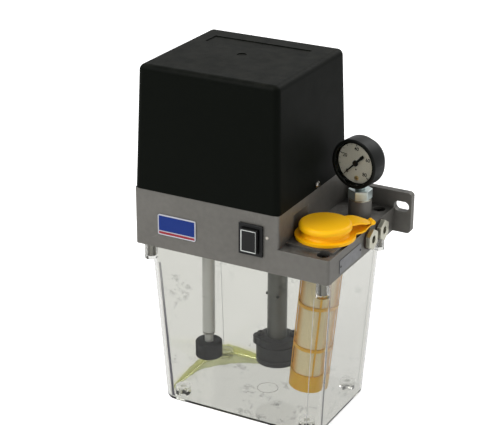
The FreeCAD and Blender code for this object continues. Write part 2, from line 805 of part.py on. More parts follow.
def hood():
    body = new_body("Hood")
    foot = rectangle(body, "HoodFoot", "XY_Plane", "seat_top", "-half_width", "seat_right",
                     "hood_middle - hood_depth / 2", "hood_middle + hood_depth / 2")
    block = pad(body, "HoodBlock", foot, "hood_height")
    block = lean_sides(body, "LeanAcross", block, "x", "hood_taper", False)
    block = lean_sides(body, "LeanAlong", block, "y", "hood_taper", False)
    low, top = size("seat_top"), size("hood_top")
    block = dress(body, "HoodEdges", block, lambda edge: any(near(v.Point.z, top) for v in edge.Vertexes), "hood_edge")
    shell_out(body, "HoodShell", block, low, "hood_wall")
    pocket(body, "TopRecess", rectangle(
        body, "TopRecessOutline", "XY_Plane", "hood_top", "seat_middle + recess_shift - recess_width / 2",
        "seat_middle + recess_shift + recess_width / 2", "hood_middle + recess_back - recess_depth / 2",
        "hood_middle + recess_back + recess_depth / 2"), "recess_sink")
    pocket(body, "TopDimple", circles(body, "TopDimpleOutline", "XY_Plane", "hood_top",
                                      [("seat_middle + recess_shift", "hood_middle + recess_sink * 4")],
                                      "dimple_diameter"), "recess_sink")
    centre = [("hood_screw_y", "hood_screw_z")]
    pocket(body, "HoodHoles", circles(body, "HoodHoleCentres", "YZ_Plane", "seat_right", centre,
                                      "hood_screw_diameter + 0.4"))
    for name, lift in (("Right", "seat_right"), ("Left", "-half_width + hood_spot")):
        pocket(body, name + "SpotFace", circles(body, name + "SpotFaceOutline", "YZ_Plane", lift, centre,
                                                "hood_screw_head + 2 * hood_spot_gap"), "hood_spot")
    return finish(body, "hood")


def hood_screws():
    screws = []
    head = "hood_screw_head / 2"
    profile = [("-hood_screw_length", "0"), ("-hood_screw_length", "hood_screw_diameter / 2"),
               ("0", "hood_screw_diameter / 2"), ("0", head), ("hood_screw_height * 0.5", head),
               ("hood_screw_height", head + " * 0.6"), ("hood_screw_height", "0")]
    for name, x, turn in (("Right", "seat_right - hood_spot", "0"), ("Left", "hood_spot - half_width", "180")):
        screw = turned(name + "HoodScrew", profile, x, "hood_screw_y", "hood_screw_z", "XY_Plane", "H_Axis", turn=turn)
        for slot, across, up in (("LevelSlot", head + " * 0.55", "0.4"), ("UprightSlot", "0.4", head + " * 0.55")):
            pocket(screw, slot, rectangle(screw, slot + "Outline", "YZ_Plane", "hood_screw_height", "-" + across,
                                          across, "-" + up, up), "hood_screw_height * 0.4")
        screws.append(screw)
    return finish(group("HoodScrews", screws), "hood_screws")


# Reservoir, its gasket and its fixings.

def plan_corner(x, y):
    return [("-" + x, "reservoir_shift - " + y), (x, "reservoir_shift - " + y),
            (x, "reservoir_shift + " + y), ("-" + x, "reservoir_shift + " + y)]


def reservoir():
    body = new_body("Reservoir")
    base = plan_corner("reservoir_base_width / 2", "reservoir_base_depth / 2")
    block = pad(body, "Block", outline(body, "BlockFoot", "XY_Plane", "0", base), "reservoir_height")
    for across, width in (("x", "width"), ("y", "depth")):
        lean = f"atan((reservoir_top_{width} - reservoir_base_{width}) / 2 / reservoir_height)"
        block = lean_sides(body, "Lean" + width.title(), block, across, lean, True)
    height = size("reservoir_height")
    block = dress(body, "UprightCorners", block,
                  lambda edge: abs(edge.Vertexes[0].Point.z - edge.Vertexes[-1].Point.z) > 1, "reservoir_corner")
    block = dress(body, "FootEdge", block, lambda edge: all(near(v.Point.z, 0) for v in edge.Vertexes), "foot_round")
    shell_out(body, "Walls", block, height, "reservoir_wall")
    pad(body, "Lugs", circles(body, "LugCentres", "XY_Plane", "reservoir_height - lug_height", four_corners(),
                              "lug_diameter"), "lug_height")
    pocket(body, "InsertHoles", circles(body, "InsertHoleCentres", "XY_Plane", "reservoir_height", four_corners(),
                                        "insert_diameter"), "insert_length")
    feet = [(f"{a}pillar_reach_x", f"reservoir_shift {b} pillar_reach_y") for a in ("", "-") for b in "+-"]
    pad(body, "Pillars", circles(body, "PillarCentres", "XY_Plane", "reservoir_wall - 0.5", feet, "pillar_diameter"),
        "pillar_height + 0.5")
    pocket(body, "PillarBores", circles(body, "PillarBoreCentres", "XY_Plane", "pillar_height", feet, "pillar_bore"),
           "pillar_height")
    return finish(body, "reservoir")


def reservoir_gasket():
    body = new_body("Gasket")
    lift = "reservoir_height"
    top = ("reservoir_top_width / 2", "reservoir_top_depth / 2")
    sheet_pad = pad(body, "GasketSheet", outline(body, "GasketOutline", "XY_Plane", lift, plan_corner(*top)),
                    "gasket_thickness")
    low, high = size("reservoir_height"), size("casting_foot")
    dress(body, "GasketCorners", sheet_pad, upright(low, high, lambda p: True), "reservoir_corner")
    pad(body, "GasketEars", circles(body, "GasketEarCentres", "XY_Plane", lift, four_corners(), "lug_diameter"),
        "gasket_thickness")
    inside = plan_corner(*[f"({v} - gasket_width)" for v in top])
    window = pocket(body, "GasketWindow", outline(body, "GasketWindowOutline", "XY_Plane", "casting_foot", inside),
                    "gasket_thickness")
    inner = size("reservoir_top_width") / 2 - size("gasket_width")
    dress(body, "WindowCorners", window, upright(low, high, lambda p: near(abs(p.x), inner)),
          "reservoir_corner - gasket_width")
    pocket(body, "GasketHoles", circles(body, "GasketHoleCentres", "XY_Plane", "casting_foot", four_corners(),
                                        "screw_diameter + screw_clearance"), "gasket_thickness")
    return finish(body, "reservoir_gasket")


def reservoir_screws():
    body = new_body("ReservoirScrews")
    pad(body, "Shanks", circles(body, "ShankCentres", "XY_Plane", "screw_seat - screw_length", four_corners(),
                                "screw_diameter"), "screw_length")
    pad(body, "Heads", circles(body, "HeadCentres", "XY_Plane", "screw_seat", four_corners(), "screw_head"),
        "screw_head_height")
    pocket(body, "Sockets", sockets(body, "SocketOutlines", "screw_seat + screw_head_height", four_corners(),
                                    "screw_head / 2"), "screw_head_height / 2")
    return finish(body, "reservoir_screws")


def reservoir_inserts():
    body = new_body("ReservoirInserts")
    lift = "reservoir_height - insert_length"
    pad(body, "Sleeves", circles(body, "SleeveCentres", "XY_Plane", lift, four_corners(), "insert_diameter"),
        "insert_length")
    pocket(body, "Threads", circles(body, "ThreadCentres", "XY_Plane", "reservoir_height", four_corners(),
                                    "screw_diameter + 0.1"))
    return finish(body, "reservoir_inserts")


# Front panel pieces.

def panel_plate(name, node, x, z, width, height, thickness, rim):
    body = new_body(name)
    plate = pad(body, "Plate", rectangle(body, "PlateOutline", "XZ_Plane", "0", f"-{width} / 2", f"{width} / 2",
                                         f"-{height} / 2", f"{height} / 2"), thickness)
    half = size(width) / 2
    dress(body, "PlateCorners", plate,
          lambda edge: all(near(abs(v.Point.x), half) for v in edge.Vertexes) and runs_along(edge, "y"), rim + " * 2")
    pocket(body, "PlateField", rectangle(
        body, "PlateFieldOutline", "XZ_Plane", thickness, f"{rim} - {width} / 2", f"{width} / 2 - {rim}",
        f"{rim} - {height} / 2", f"{height} / 2 - {rim}"), thickness + " / 4")
    place(body, x, "front", z)
    return finish(body, node)


def badge_plate():
    return panel_plate("Badge", "badge_plate", "badge_x", "casting_foot + badge_rise", "badge_width", "badge_height",
                       "badge_thickness", "badge_rim")


def type_plate():
    body = new_body("TypePlate")
    pad(body, "Plate", rectangle(body, "PlateOutline", "YZ_Plane", "half_width", "plate_y - plate_width / 2",
                                 "plate_y + plate_width / 2", "casting_foot + plate_rise - plate_height / 2",
                                 "casting_foot + plate_rise + plate_height / 2"), "plate_thickness")
    return finish(body, "type_plate")


def switch_frame():
    body = new_body("SwitchFrame")

    def centred(name, lift, width, height):
        return rectangle(body, name, "XZ_Plane", lift, f"-{width} / 2", f"{width} / 2", f"-{height} / 2",
                         f"{height} / 2")

    pad(body, "Bezel", centred("BezelOutline", "0", "bezel_width", "bezel_height"), "bezel_thickness")
    pad(body, "Barrel", centred("BarrelOutline", "-switch_body_depth", "switch_body_width", "switch_body_height"),
        "switch_body_depth")
    pocket(body, "Bay", centred("BayOutline", "bezel_thickness", "(button_width + 2 * button_gap)",
                                "(button_height + 2 * button_gap)"), "button_depth")
    return finish(place(body, "switch_x", "front", "switch_z"), "switch_frame")


def switch_button():
    body = new_body("SwitchButton")
    block = pad(body, "Button", rectangle(body, "ButtonOutline", "XZ_Plane", "-button_depth", "-button_width / 2",
                                          "button_width / 2", "-button_height / 2", "button_height / 2"),
                "button_depth")
    dress(body, "ButtonEdges", block, lambda edge: all(near(v.Point.y, 0) for v in edge.Vertexes), "button_round")
    return finish(place(body, "switch_x", "front - switch_proud", "switch_z"), "switch_button")


def pilot_lamp():
    half = "lamp_diameter / 2"
    profile = [("0", "-lamp_proud"), (half + " * 0.7", "-lamp_proud"), (half, "-lamp_proud * 0.4"),
               (half, "seat_wall"), ("lamp_diameter", "seat_wall"), ("lamp_diameter", "seat_wall + lamp_diameter"),
               ("0", "seat_wall + lamp_diameter")]
    return finish(turned("PilotLamp", profile, "lamp_x", "front", "casting_foot + lamp_rise", "XY_Plane"),
                  "pilot_lamp")


# Filler: collar with the hinge of the cap, the cap itself, the strainer and its mesh.

def strap_outline(body, name, tongue):
    """Draw, beside the strap, the two areas that trim it from its root width to its tip."""
    trim = new_sketch(body, name, "XY_Plane", "strap_z")
    end = "(strap_reach - strap_knuckle - 0.5)"
    for sign in "+-":
        side = "" if sign == "+" else "-"
        add_loop(trim, [("strap_root", f"{side}strap_width / 2"), ("strap_bend", f"{side}strap_shoulder / 2"),
                        (end, f"{side}strap_tip_width / 2"), (end, f"{side}{tongue} / 2"), ("strap_reach + strap_width", f"{side}{tongue} / 2"),
                        ("strap_reach + strap_width", f"{side}strap_width * 2"),
                        ("strap_root", f"{side}strap_width * 2")])
    return trim


def filler_collar():
    body = new_body("FillerCollar")
    profile = [("strap_root", "collar_top - strap_thickness"), ("strap_root + 9", "collar_top - strap_thickness"),
               ("strap_reach - 1", "strap_z - strap_knuckle + 0.1"), ("strap_reach - 1", "strap_z - 1.1"),
               ("strap_root + 8", "collar_top"), ("strap_root", "collar_top")]
    pad(body, "Strap", outline(body, "StrapSection", "XZ_Plane", "0", profile), "strap_width", Midplane=True)
    pocket(body, "StrapTrim", strap_outline(body, "StrapTrimOutline", "strap_tip_width"), "strap_width * 2",
           Midplane=True)
    pad(body, "Knuckles", circles(body, "KnuckleOutline", "XZ_Plane", "0", [("strap_reach", "strap_z")],
                                  "strap_knuckle * 2"), "strap_tip_width", Midplane=True)
    pocket(body, "KnuckleGap", rectangle(body, "KnuckleGapOutline", "XY_Plane", "strap_z",
                                         "strap_reach - strap_knuckle - 0.5", "strap_reach + strap_knuckle * 2",
                                         "-strap_eye / 2 - strap_play", "strap_eye / 2 + strap_play"),
           "strap_width * 2", Midplane=True)
    pad(body, "HingePin", circles(body, "HingePinOutline", "XZ_Plane", "0", [("strap_reach", "strap_z")],
                                  "strap_barrel * 2"), "strap_tip_width", Midplane=True)
    mouth, neck, outer = "collar_mouth / 2", "collar_neck / 2", "collar_diameter / 2"
    spigot = "seat_bore / 2 - collar_clearance / 2"
    ring = outline(body, "CollarSection", "XZ_Plane", "0", [
        (mouth, "strainer_z"), (spigot, "strainer_z"), (spigot, "pad_top"), (outer, "pad_top"),
        (outer, "collar_top"), (neck + " + 1.5", "collar_top"), (neck, "collar_top + 1.5"), (neck, "neck_top"),
        (mouth, "neck_top")])
    revolve(body, "Collar", ring)
    return finish(place(body, "filler_x", "filler_y", "0", "strap_angle"), "filler_collar")


def filler_cap():
    body = new_body("FillerCap")
    plug, lid = "(collar_mouth / 2 - plug_clearance)", "lid_diameter / 2"
    section = outline(body, "LidSection", "XZ_Plane", "0", [
        ("0", "lid_foot + lid_height - lid_skin"), (plug + " - lid_skin", "lid_foot + lid_height - lid_skin"),
        (plug + " - lid_skin", "lid_foot - plug_depth"), (plug, "lid_foot - plug_depth"), (plug, "lid_foot"),
        (lid, "lid_foot"), (lid, "lid_foot + lid_height"), ("0", "lid_foot + lid_height")])
    turned_lid = revolve(body, "Lid", section)
    top = size("lid_foot") + size("lid_height")
    dress(body, "LidEdge", turned_lid, lambda edge: all(near(v.Point.z, top) for v in edge.Vertexes), "lid_round")
    low, high = "lid_foot + strap_joint", "lid_foot + strap_joint + strap_thickness"
    end, half = "strap_reach - 2.2", "strap_thickness / 2"
    profile = [("strap_root - 2", low), ("strap_root + 7", low), (end, "strap_z - " + half),
               (end + " + 0.4", "strap_z - " + half), (end + " + 0.4", "strap_z + " + half),
               (end, "strap_z + " + half), ("strap_root + 7", high), ("strap_root - 2", high)]
    pad(body, "Strap", outline(body, "StrapSection", "XZ_Plane", "0", profile), "strap_width", Midplane=True)
    pocket(body, "StrapTrim", strap_outline(body, "StrapTrimOutline", "strap_eye"), "strap_width * 2", Midplane=True)
    pad(body, "Eye", circles(body, "EyeOutline", "XZ_Plane", "0", [("strap_reach", "strap_z")], "strap_knuckle * 2"),
        "strap_eye", Midplane=True)
    pocket(body, "EyeBore", circles(body, "EyeBoreOutline", "XZ_Plane", "0", [("strap_reach", "strap_z")],
                                    "(strap_barrel + strap_fit) * 2"), "strap_width * 2", Midplane=True)
    return finish(place(body, "filler_x", "filler_y", "0", "strap_angle"), "filler_cap")


def filler_strainer():
    cage = new_body("StrainerCage")
    top, foot, wall = "strainer_top / 2", "strainer_foot / 2", "strainer_wall"
    revolve(cage, "Tube", outline(cage, "TubeSection", "XZ_Plane", "0", [
        (f"{top} - {wall}", "strainer_rim"), (top, "strainer_rim"), (foot, "-strainer_length"),
        ("0", "-strainer_length"), ("0", "strainer_wall - strainer_length"),
        (f"{foot} - {wall}", "strainer_wall - strainer_length")]))
    windows = new_sketch(cage, "WindowOutlines", "XZ_Plane", "0", "strainer_turn", (0, 1, 0))
    half = "strainer_window / 2"
    rings = ["strainer_first_ring", "(strainer_first_ring + strainer_pitch)"]
    spans = [("-strainer_head", f"-{rings[0]} + strainer_ring / 2"),
             (f"-{rings[0]} - strainer_ring / 2", f"-{rings[1]} + strainer_ring / 2"),
             (f"-{rings[1]} - strainer_ring / 2", "strainer_cup - strainer_length")]
    for high, low in spans:
        add_loop(windows, [("-" + half, low), (half, low), (half, high), ("-" + half, high)])
    opened = pocket(cage, "Windows", windows, "strainer_top")
    repeat_round(cage, "WindowRows", [opened], 4)
    place(cage, "filler_x", "filler_y", "strainer_seat", "strainer_tilt", (0, 1, 0))
    rim = turned("StrainerRim", [(f"{top} - {wall}", "0"), ("seat_bore / 2 - 0.1", "0"),
                                 ("seat_bore / 2 - 0.1", "strainer_rim"), (f"{top} - {wall}", "strainer_rim")],
                 "filler_x", "filler_y", "strainer_seat")
    whole = fuse("StrainerWhole", rim, cage)
    trim = cylinder("StrainerTrim", "filler_x", "filler_y", "strainer_z", "seat_bore", "seat_bore")
    return finish(cut("Strainer", whole, trim), "filler_strainer")


def strainer_mesh():
    slope = "(strainer_top - strainer_foot) / 2 / (strainer_length + strainer_rim)"

    def inside(depth):
        return f"strainer_top / 2 - strainer_wall - mesh_gap - ({depth} + strainer_rim) * {slope}"

    high, low = "(strainer_head - 2)", "(strainer_length - strainer_cup + 2)"
    profile = [(f"{inside(high)} - mesh_thickness", "-" + high), (inside(high), "-" + high), (inside(low), "-" + low),
               (f"{inside(low)} - mesh_thickness", "-" + low)]
    return finish(turned("StrainerMesh", profile, "filler_x", "filler_y", "strainer_seat", turn="strainer_tilt",
                         about=(0, 1, 0)), "strainer_mesh")


# Pressure gauge, seen from its own front: the dial looks towards -Y before the turn.

def on_gauge(name, profile):
    """Turn a half section, given as (radius, depth behind the stem), about the dial's axis."""
    return turned(name, profile, "gauge_x", "gauge_y", "gauge_z", "XY_Plane", turn="gauge_turn")


def gauge_case():
    outer, inner, lip = "gauge_diameter / 2", "(gauge_diameter / 2 - gauge_wall)", "dial_view / 2"
    profile = [(lip, "-gauge_front"), (outer + " - 1", "-gauge_front"), (outer, "1 - gauge_front"),
               (outer, "gauge_back - gauge_tail_length"), ("gauge_tail / 2", "gauge_back"), ("0", "gauge_back"),
               ("0", "gauge_back - gauge_wall"), ("gauge_tail / 2 - gauge_wall", "gauge_back - gauge_wall"),
               (inner, "gauge_back - gauge_tail_length"), (inner, "lens_sink - gauge_front"),
               (lip, "lens_sink - gauge_front")]
    body = on_gauge("GaugeCase", profile)
    pocket(body, "StemHole", circles(body, "StemHoleOutline", "XY_Plane", "-gauge_diameter / 2 + gauge_wall * 2",
                                     [("0", "0")], "stem_diameter"), "gauge_wall * 4")
    return finish(body, "gauge_case")


def gauge_lens():
    profile = [("0", "lens_sink - gauge_front"), ("lens_diameter / 2", "lens_sink - gauge_front"),
               ("lens_diameter / 2", "lens_sink - gauge_front + lens_thickness"),
               ("0", "lens_sink - gauge_front + lens_thickness")]
    return finish(on_gauge("GaugeLens", profile), "gauge_lens")


def gauge_dial():
    outer = "gauge_diameter / 2 - gauge_wall - 0.1"
    profile = [("dial_hole / 2", "dial_sink - gauge_front"), (outer, "dial_sink - gauge_front"),
               (outer, "dial_sink - gauge_front + dial_thickness"),
               ("dial_hole / 2", "dial_sink - gauge_front + dial_thickness")]
    return finish(on_gauge("GaugeDial", profile), "gauge_dial")


def gauge_needle():
    body = new_body("GaugeNeedle")
    face = "gauge_front - dial_sink + needle_lift"
    pointer = new_sketch(body, "PointerOutline", "XZ_Plane", face, "needle_angle", (0, 0, 1))
    add_loop(pointer, [("-needle_tail", "-needle_width * 1.2"), ("0", "-needle_width * 0.8"),
                       ("needle_length - 2", "-needle_width / 3"), ("needle_length", "0"),
                       ("needle_length - 2", "needle_width / 3"), ("0", "needle_width * 0.8"),
                       ("-needle_tail", "needle_width * 1.2")])
    pad(body, "Pointer", pointer, "needle_thickness")
    pad(body, "Hub", circles(body, "HubOutline", "XZ_Plane", face, [("0", "0")], "needle_hub"),
        "needle_thickness * 2")
    pad(body, "Arbor", circles(body, "ArborOutline", "XZ_Plane", face + " - needle_arbor_length", [("0", "0")],
                               "needle_arbor"), "needle_arbor_length")
    return finish(place(body, "gauge_x", "gauge_y", "gauge_z", "gauge_turn"), "gauge_needle")


def gauge_stem():
    body = new_body("GaugeStem")
    low = "-gauge_rise - adapter_thread_depth"
    step = "stem_shoulder - gauge_diameter / 2"
    revolve(body, "Stem", outline(body, "StemSection", "XZ_Plane", "0", [
        ("adapter_bore / 2", low), ("stem_neck / 2", low), ("stem_neck / 2", "-gauge_rise"),
        ("stem_diameter / 2", "-gauge_rise"), ("stem_diameter / 2", step), ("stem_neck / 2", step),
        ("stem_neck / 2", "-stem_block"), ("adapter_bore / 2", "-stem_block")]))
    back = "gauge_front - dial_sink - dial_thickness"
    pad(body, "Block", rectangle(body, "BlockOutline", "XZ_Plane", back, "-stem_block / 2", "stem_block / 2",
                                 "-stem_block * 1.4", "-movement_drop"), "stem_depth", Reversed=True)
    return finish(place(body, "gauge_x", "gauge_y", "gauge_z", "gauge_turn"), "gauge_stem")


def gauge_movement():
    body = new_body("GaugeMovement")
    back = "gauge_front - dial_sink - dial_thickness"
    pad(body, "Plates", rectangle(body, "PlatesOutline", "XZ_Plane", back, "-movement_width / 2",
                                  "movement_width / 2", "-movement_drop", "movement_rise"), "movement_depth",
        Reversed=True)
    pocket(body, "ArborBore", circles(body, "ArborBoreOutline", "XZ_Plane", back, [("0", "0")],
                                      "needle_arbor + 0.1"), "movement_depth")
    return finish(place(body, "gauge_x", "gauge_y", "gauge_z", "gauge_turn"), "gauge_movement")


def bourdon_tube():
    body = new_body("BourdonTube")
    low, high = "(bourdon_radius - bourdon_tube / 2)", "(bourdon_radius + bourdon_tube / 2)"
    section = rectangle(body, "TubeSection", "XY_Plane", "0", low, high, "bourdon_depth", "bourdon_depth + bourdon_tube * 2",
                        turn="bourdon_start", turn_axis=(0, 1, 0))
    revolve(body, "Tube", section, "bourdon_sweep")
    return finish(place(body, "gauge_x", "gauge_y", "gauge_z", "gauge_turn"), "bourdon_tube")


def gauge_adapter():
    body = new_body("GaugeAdapter")
    pad(body, "Hexagon", hexagon(body, "HexagonOutline", "XY_Plane", "gauge_washer", flats="adapter_flats"),
        "adapter_height")
    pad(body, "Spigot", circles(body, "SpigotOutline", "XY_Plane", "-adapter_spigot_length", [("0", "0")],
                                "adapter_spigot - 2 * outlet_clearance"), "adapter_spigot_length + gauge_washer")
    pocket(body, "StemThread", circles(body, "StemThreadOutline", "XY_Plane", "gauge_washer + adapter_height",
                                       [("0", "0")], "stem_neck"), "adapter_thread_depth")
    pocket(body, "OilBore", circles(body, "OilBoreOutline", "XY_Plane", "gauge_washer + adapter_height",
                                    [("0", "0")], "adapter_bore"))
    return finish(place(body, "gauge_x", "gauge_y", "boss_top"), "gauge_adapter")


def gauge_washer():
    profile = [("adapter_spigot / 2", "0"), ("boss_diameter / 2 - 0.5", "0"), ("boss_diameter / 2 - 0.5", "gauge_washer"),
               ("adapter_spigot / 2", "gauge_washer")]
    return finish(turned("GaugeWasher", profile, "gauge_x", "gauge_y", "boss_top"), "gauge_washer")


# Oil outlets on the right and the plug of the cross gallery at the back.

def outlet_fitting(name, node, y):
    body = new_body(name)
    pad(body, "Hexagon", hexagon(body, "HexagonOutline", "YZ_Plane", "washer_thickness", flats="outlet_flats"),
        "outlet_head")
    pad(body, "Thread", circles(body, "ThreadOutline", "YZ_Plane", "-outlet_thread_length", [("0", "0")],
                                "outlet_thread - 2 * outlet_clearance"), "outlet_thread_length + washer_thickness")
    mouth = "washer_thickness + outlet_head"
    pocket(body, "PipeBore", circles(body, "PipeBoreOutline", "YZ_Plane", mouth, [("0", "0")], "outlet_bore"),
           "outlet_bore_depth")
    pocket(body, "Orifice", circles(body, "OrificeOutline", "YZ_Plane", mouth, [("0", "0")], "outlet_orifice"))
    return finish(place(body, "half_width", y, "gallery_z"), node)


def outlet_washers():
    profile = [("0", "outlet_thread / 2"), ("0", "washer_diameter / 2"), ("washer_thickness", "washer_diameter / 2"),
               ("washer_thickness", "outlet_thread / 2")]
    rings = [turned(f"OutletWasher{i}", profile, "half_width", y, "gallery_z", "XY_Plane", "H_Axis")
             for i, y in enumerate(("outlet_y", "outlet_rear_y"))]
    return finish(group("OutletWashers", rings), "outlet_washers")


def gallery_plug():
    body = new_body("GalleryPlug")
    pad(body, "Plug", circles(body, "PlugOutline", "XZ_Plane", "0", [("0", "0")], "gallery_plug"),
        "gallery_plug_length")
    pocket(body, "Socket", sockets(body, "SocketOutline", "0", [("0", "0")], "gallery_plug / 2", "XZ_Plane"),
           "gallery_plug_length / 2", Reversed=True)
    return finish(place(body, "gauge_x", "rear - 0.5", "gallery_z"), "gallery_plug")


# Level switch: a float that slides on a stem below its tube.

def float_tube():
    bore = "(stem_rod / 2)"
    profile = [(bore, "tube_foot"), ("tube_diameter / 2", "tube_foot"), ("tube_diameter / 2", "floor_top"),
               ("tube_head / 2", "floor_top"), ("tube_head / 2", "floor_top + tube_head_height"),
               (bore, "floor_top + tube_head_height")]
    return finish(turned("FloatTube", profile, "float_x", "float_y"), "float_tube")


def float_stem():
    profile = [("0", "stem_foot"), ("stem_rod / 2", "stem_foot"), ("stem_rod / 2", "tube_foot + stem_grip"),
               ("0", "tube_foot + stem_grip")]
    return finish(turned("FloatStem", profile, "float_x", "float_y"), "float_stem")


def level_float():
    bore = "(stem_rod / 2 + float_gap)"
    profile = [(bore, "0"), ("float_diameter / 2 - 1", "0"), ("float_diameter / 2", "1"),
               ("float_diameter / 2", "float_height - 1"), ("float_diameter / 2 - 1", "float_height"),
               (bore, "float_height")]
    return finish(turned("LevelFloat", profile, "float_x", "float_y", "float_foot"), "level_float")


def float_stops():
    rings = []
    for name, foot in (("Lower", "float_foot - float_stop"), ("Upper", "float_foot + float_height + float_travel")):
        profile = [("stem_rod / 2", foot), ("float_stop_diameter / 2", foot),
                   ("float_stop_diameter / 2", foot + " + float_stop"), ("stem_rod / 2", foot + " + float_stop")]
        rings.append(turned(name + "Stop", profile, "float_x", "float_y"))
    return finish(group("FloatStops", rings), "float_stops")


# Gear pump at the foot of its column.

def at_pump(name, profile, z="0"):
    return turned(name, profile, "pump_x", "pump_y", z)


def pump_column():
    spigot, tube, bore = "(column_spigot / 2 - spigot_clearance / 2)", "column_diameter / 2", "shaft_bore / 2"
    top, shelf = "casting_foot + spigot_height", "casting_foot + spigot_height - bush_height - seal_height"
    flange = "casting_foot - column_head_height"
    body = at_pump("PumpColumn", [
        (bore, "pump_top"), (tube, "pump_top"), (tube, flange + " - 4"), ("column_head / 2", flange),
        ("column_head / 2", "casting_foot"), (spigot, "casting_foot"), (spigot, top), ("spigot_bore / 2", top),
        ("spigot_bore / 2", shelf), (bore, shelf)])
    pocket(body, "GalleryPort", circles(body, "GalleryPortOutline", "YZ_Plane", "column_spigot",
                                        [("outlet_y - pump_y", "gallery_z")], "gallery_bore"), "column_spigot")
    hole = circles(body, "CrossPinHoleOutline", "XZ_Plane", "0", [("0", "pin_height")], "pin_diameter",
                   turn="pin_turn", turn_axis=(0, 1, 0))
    crossed = pocket(body, "CrossPinHole", hole, "column_diameter", Reversed=True)
    repeat_round(body, "CrossPinHoles", [crossed], 4)
    return finish(body, "pump_column")


def lug_centres():
    return spread("pump_lug_reach", ["pump_lug_angle", "pump_lug_angle + 180"])


def pump_body():
    body = new_body("PumpBody")
    height = "pump_top - pump_split"
    pad(body, "Block", circles(body, "BlockOutline", "XY_Plane", "pump_split", [("0", "0")], "pump_body"), height)
    pad(body, "Lugs", circles(body, "LugOutline", "XY_Plane", "cover_rim", lug_centres(), "pump_lug * 2"),
        "pump_top - cover_rim")
    chamber = "(gear_outer + gear_clearance) * 2"
    idler = spread("gear_pitch", ["idler_angle"])
    pocket(body, "DriveChamber", circles(body, "DriveChamberOutline", "XY_Plane", "pump_split", [("0", "0")], chamber),
           "gear_face + gear_gap", Reversed=True)
    pocket(body, "IdlerChamber", circles(body, "IdlerChamberOutline", "XY_Plane", "pump_split", idler, chamber),
           "gear_face + gear_gap", Reversed=True)
    pocket(body, "PinHole", circles(body, "PinHoleOutline", "XY_Plane", "gear_top - 1", idler, "idler_pin"),
           "pin_grip + 1", Reversed=True)
    pocket(body, "BushHole", circles(body, "BushHoleOutline", "XY_Plane", "pump_top", [("0", "0")],
                                     "shaft_diameter + 2 * bush_wall"), height)
    pocket(body, "DeliveryPort", circles(body, "DeliveryPortOutline", "XY_Plane", "pump_top",
                                         spread("port_reach", ["idler_angle - 60"]), "port_diameter"), height)
    pocket(body, "ScrewHoles", circles(body, "ScrewHoleOutline", "XY_Plane", "pump_top", lug_centres(),
                                       "pump_screw + 0.4"))
    return finish(place(body, "pump_x", "pump_y", "0"), "pump_body")


def suction_cover():
    body = new_body("SuctionCover")
    outer, inner = "pump_cover / 2", "(pump_cover / 2 - cover_wall)"
    seat, groove = "(pump_split - cover_top)", "(pump_split - cover_top - cover_groove)"
    pad(body, "Block", circles(body, "BlockOutline", "XY_Plane", seat, [("0", "0")], "pump_cover"),
        "cover_top + cover_skirt")
    revolve(body, "Foot", outline(body, "FootSection", "XZ_Plane", "0", [
        (inner, f"{seat} + 0.1"), (inner, "pump_foot"), (outer, "pump_foot"), (outer, groove),
        (f"{outer} - cover_groove", groove), (f"{outer} - cover_groove", f"{seat} + 0.1")]))
    pocket(body, "BodySeat", circles(body, "BodySeatOutline", "XY_Plane", "cover_rim", [("0", "0")],
                                     "pump_body + 0.2"), "cover_skirt")
    pocket(body, "ShaftSeat", circles(body, "ShaftSeatOutline", "XY_Plane", "pump_split", [("0", "0")],
                                      "shaft_diameter + 0.1"), "cover_top / 2")
    pocket(body, "SuctionPort", circles(body, "SuctionPortOutline", "XY_Plane", "pump_split",
                                        spread("port_reach", ["idler_angle + 60"]), "suction_port"), "cover_top")
    pocket(body, "ScrewThreads", circles(body, "ScrewThreadOutline", "XY_Plane", "pump_split", lug_centres(),
                                         "pump_screw"), "cover_top")
    return finish(place(body, "pump_x", "pump_y"), "suction_cover")


def suction_screen():
    body = new_body("SuctionScreen")
    disc = pad(body, "Disc", circles(body, "DiscOutline", "XY_Plane", "pump_foot + cover_wall / 2", [("0", "0")],
                                     "pump_cover - cover_wall * 2"), "screen_thickness")
    hole = pocket(body, "Hole", circles(body, "HoleOutline", "XY_Plane", "pump_foot + cover_wall",
                                        [("screen_hole * 2.4", "0"), ("screen_hole * 4", "screen_hole")],
                                        "screen_hole"))
    repeat_round(body, "Holes", [hole], 10)
    return finish(place(body, "pump_x", "pump_y", "0"), "suction_screen")


def pump_screws():
    body = new_body("PumpScrews")
    pad(body, "Shanks", circles(body, "ShankOutline", "XY_Plane", "pump_split - cover_top", lug_centres(),
                                "pump_screw"), "pump_top - pump_split + cover_top")
    pad(body, "Heads", circles(body, "HeadOutline", "XY_Plane", "pump_top", lug_centres(), "pump_screw_head"),
        "pump_screw_head_height")
    pocket(body, "Sockets", sockets(body, "SocketOutline", "pump_top + pump_screw_head_height", lug_centres(),
                                    "pump_screw_head / 2"), "pump_screw_head_height / 2")
    return finish(place(body, "pump_x", "pump_y", "0"), "pump_screws")


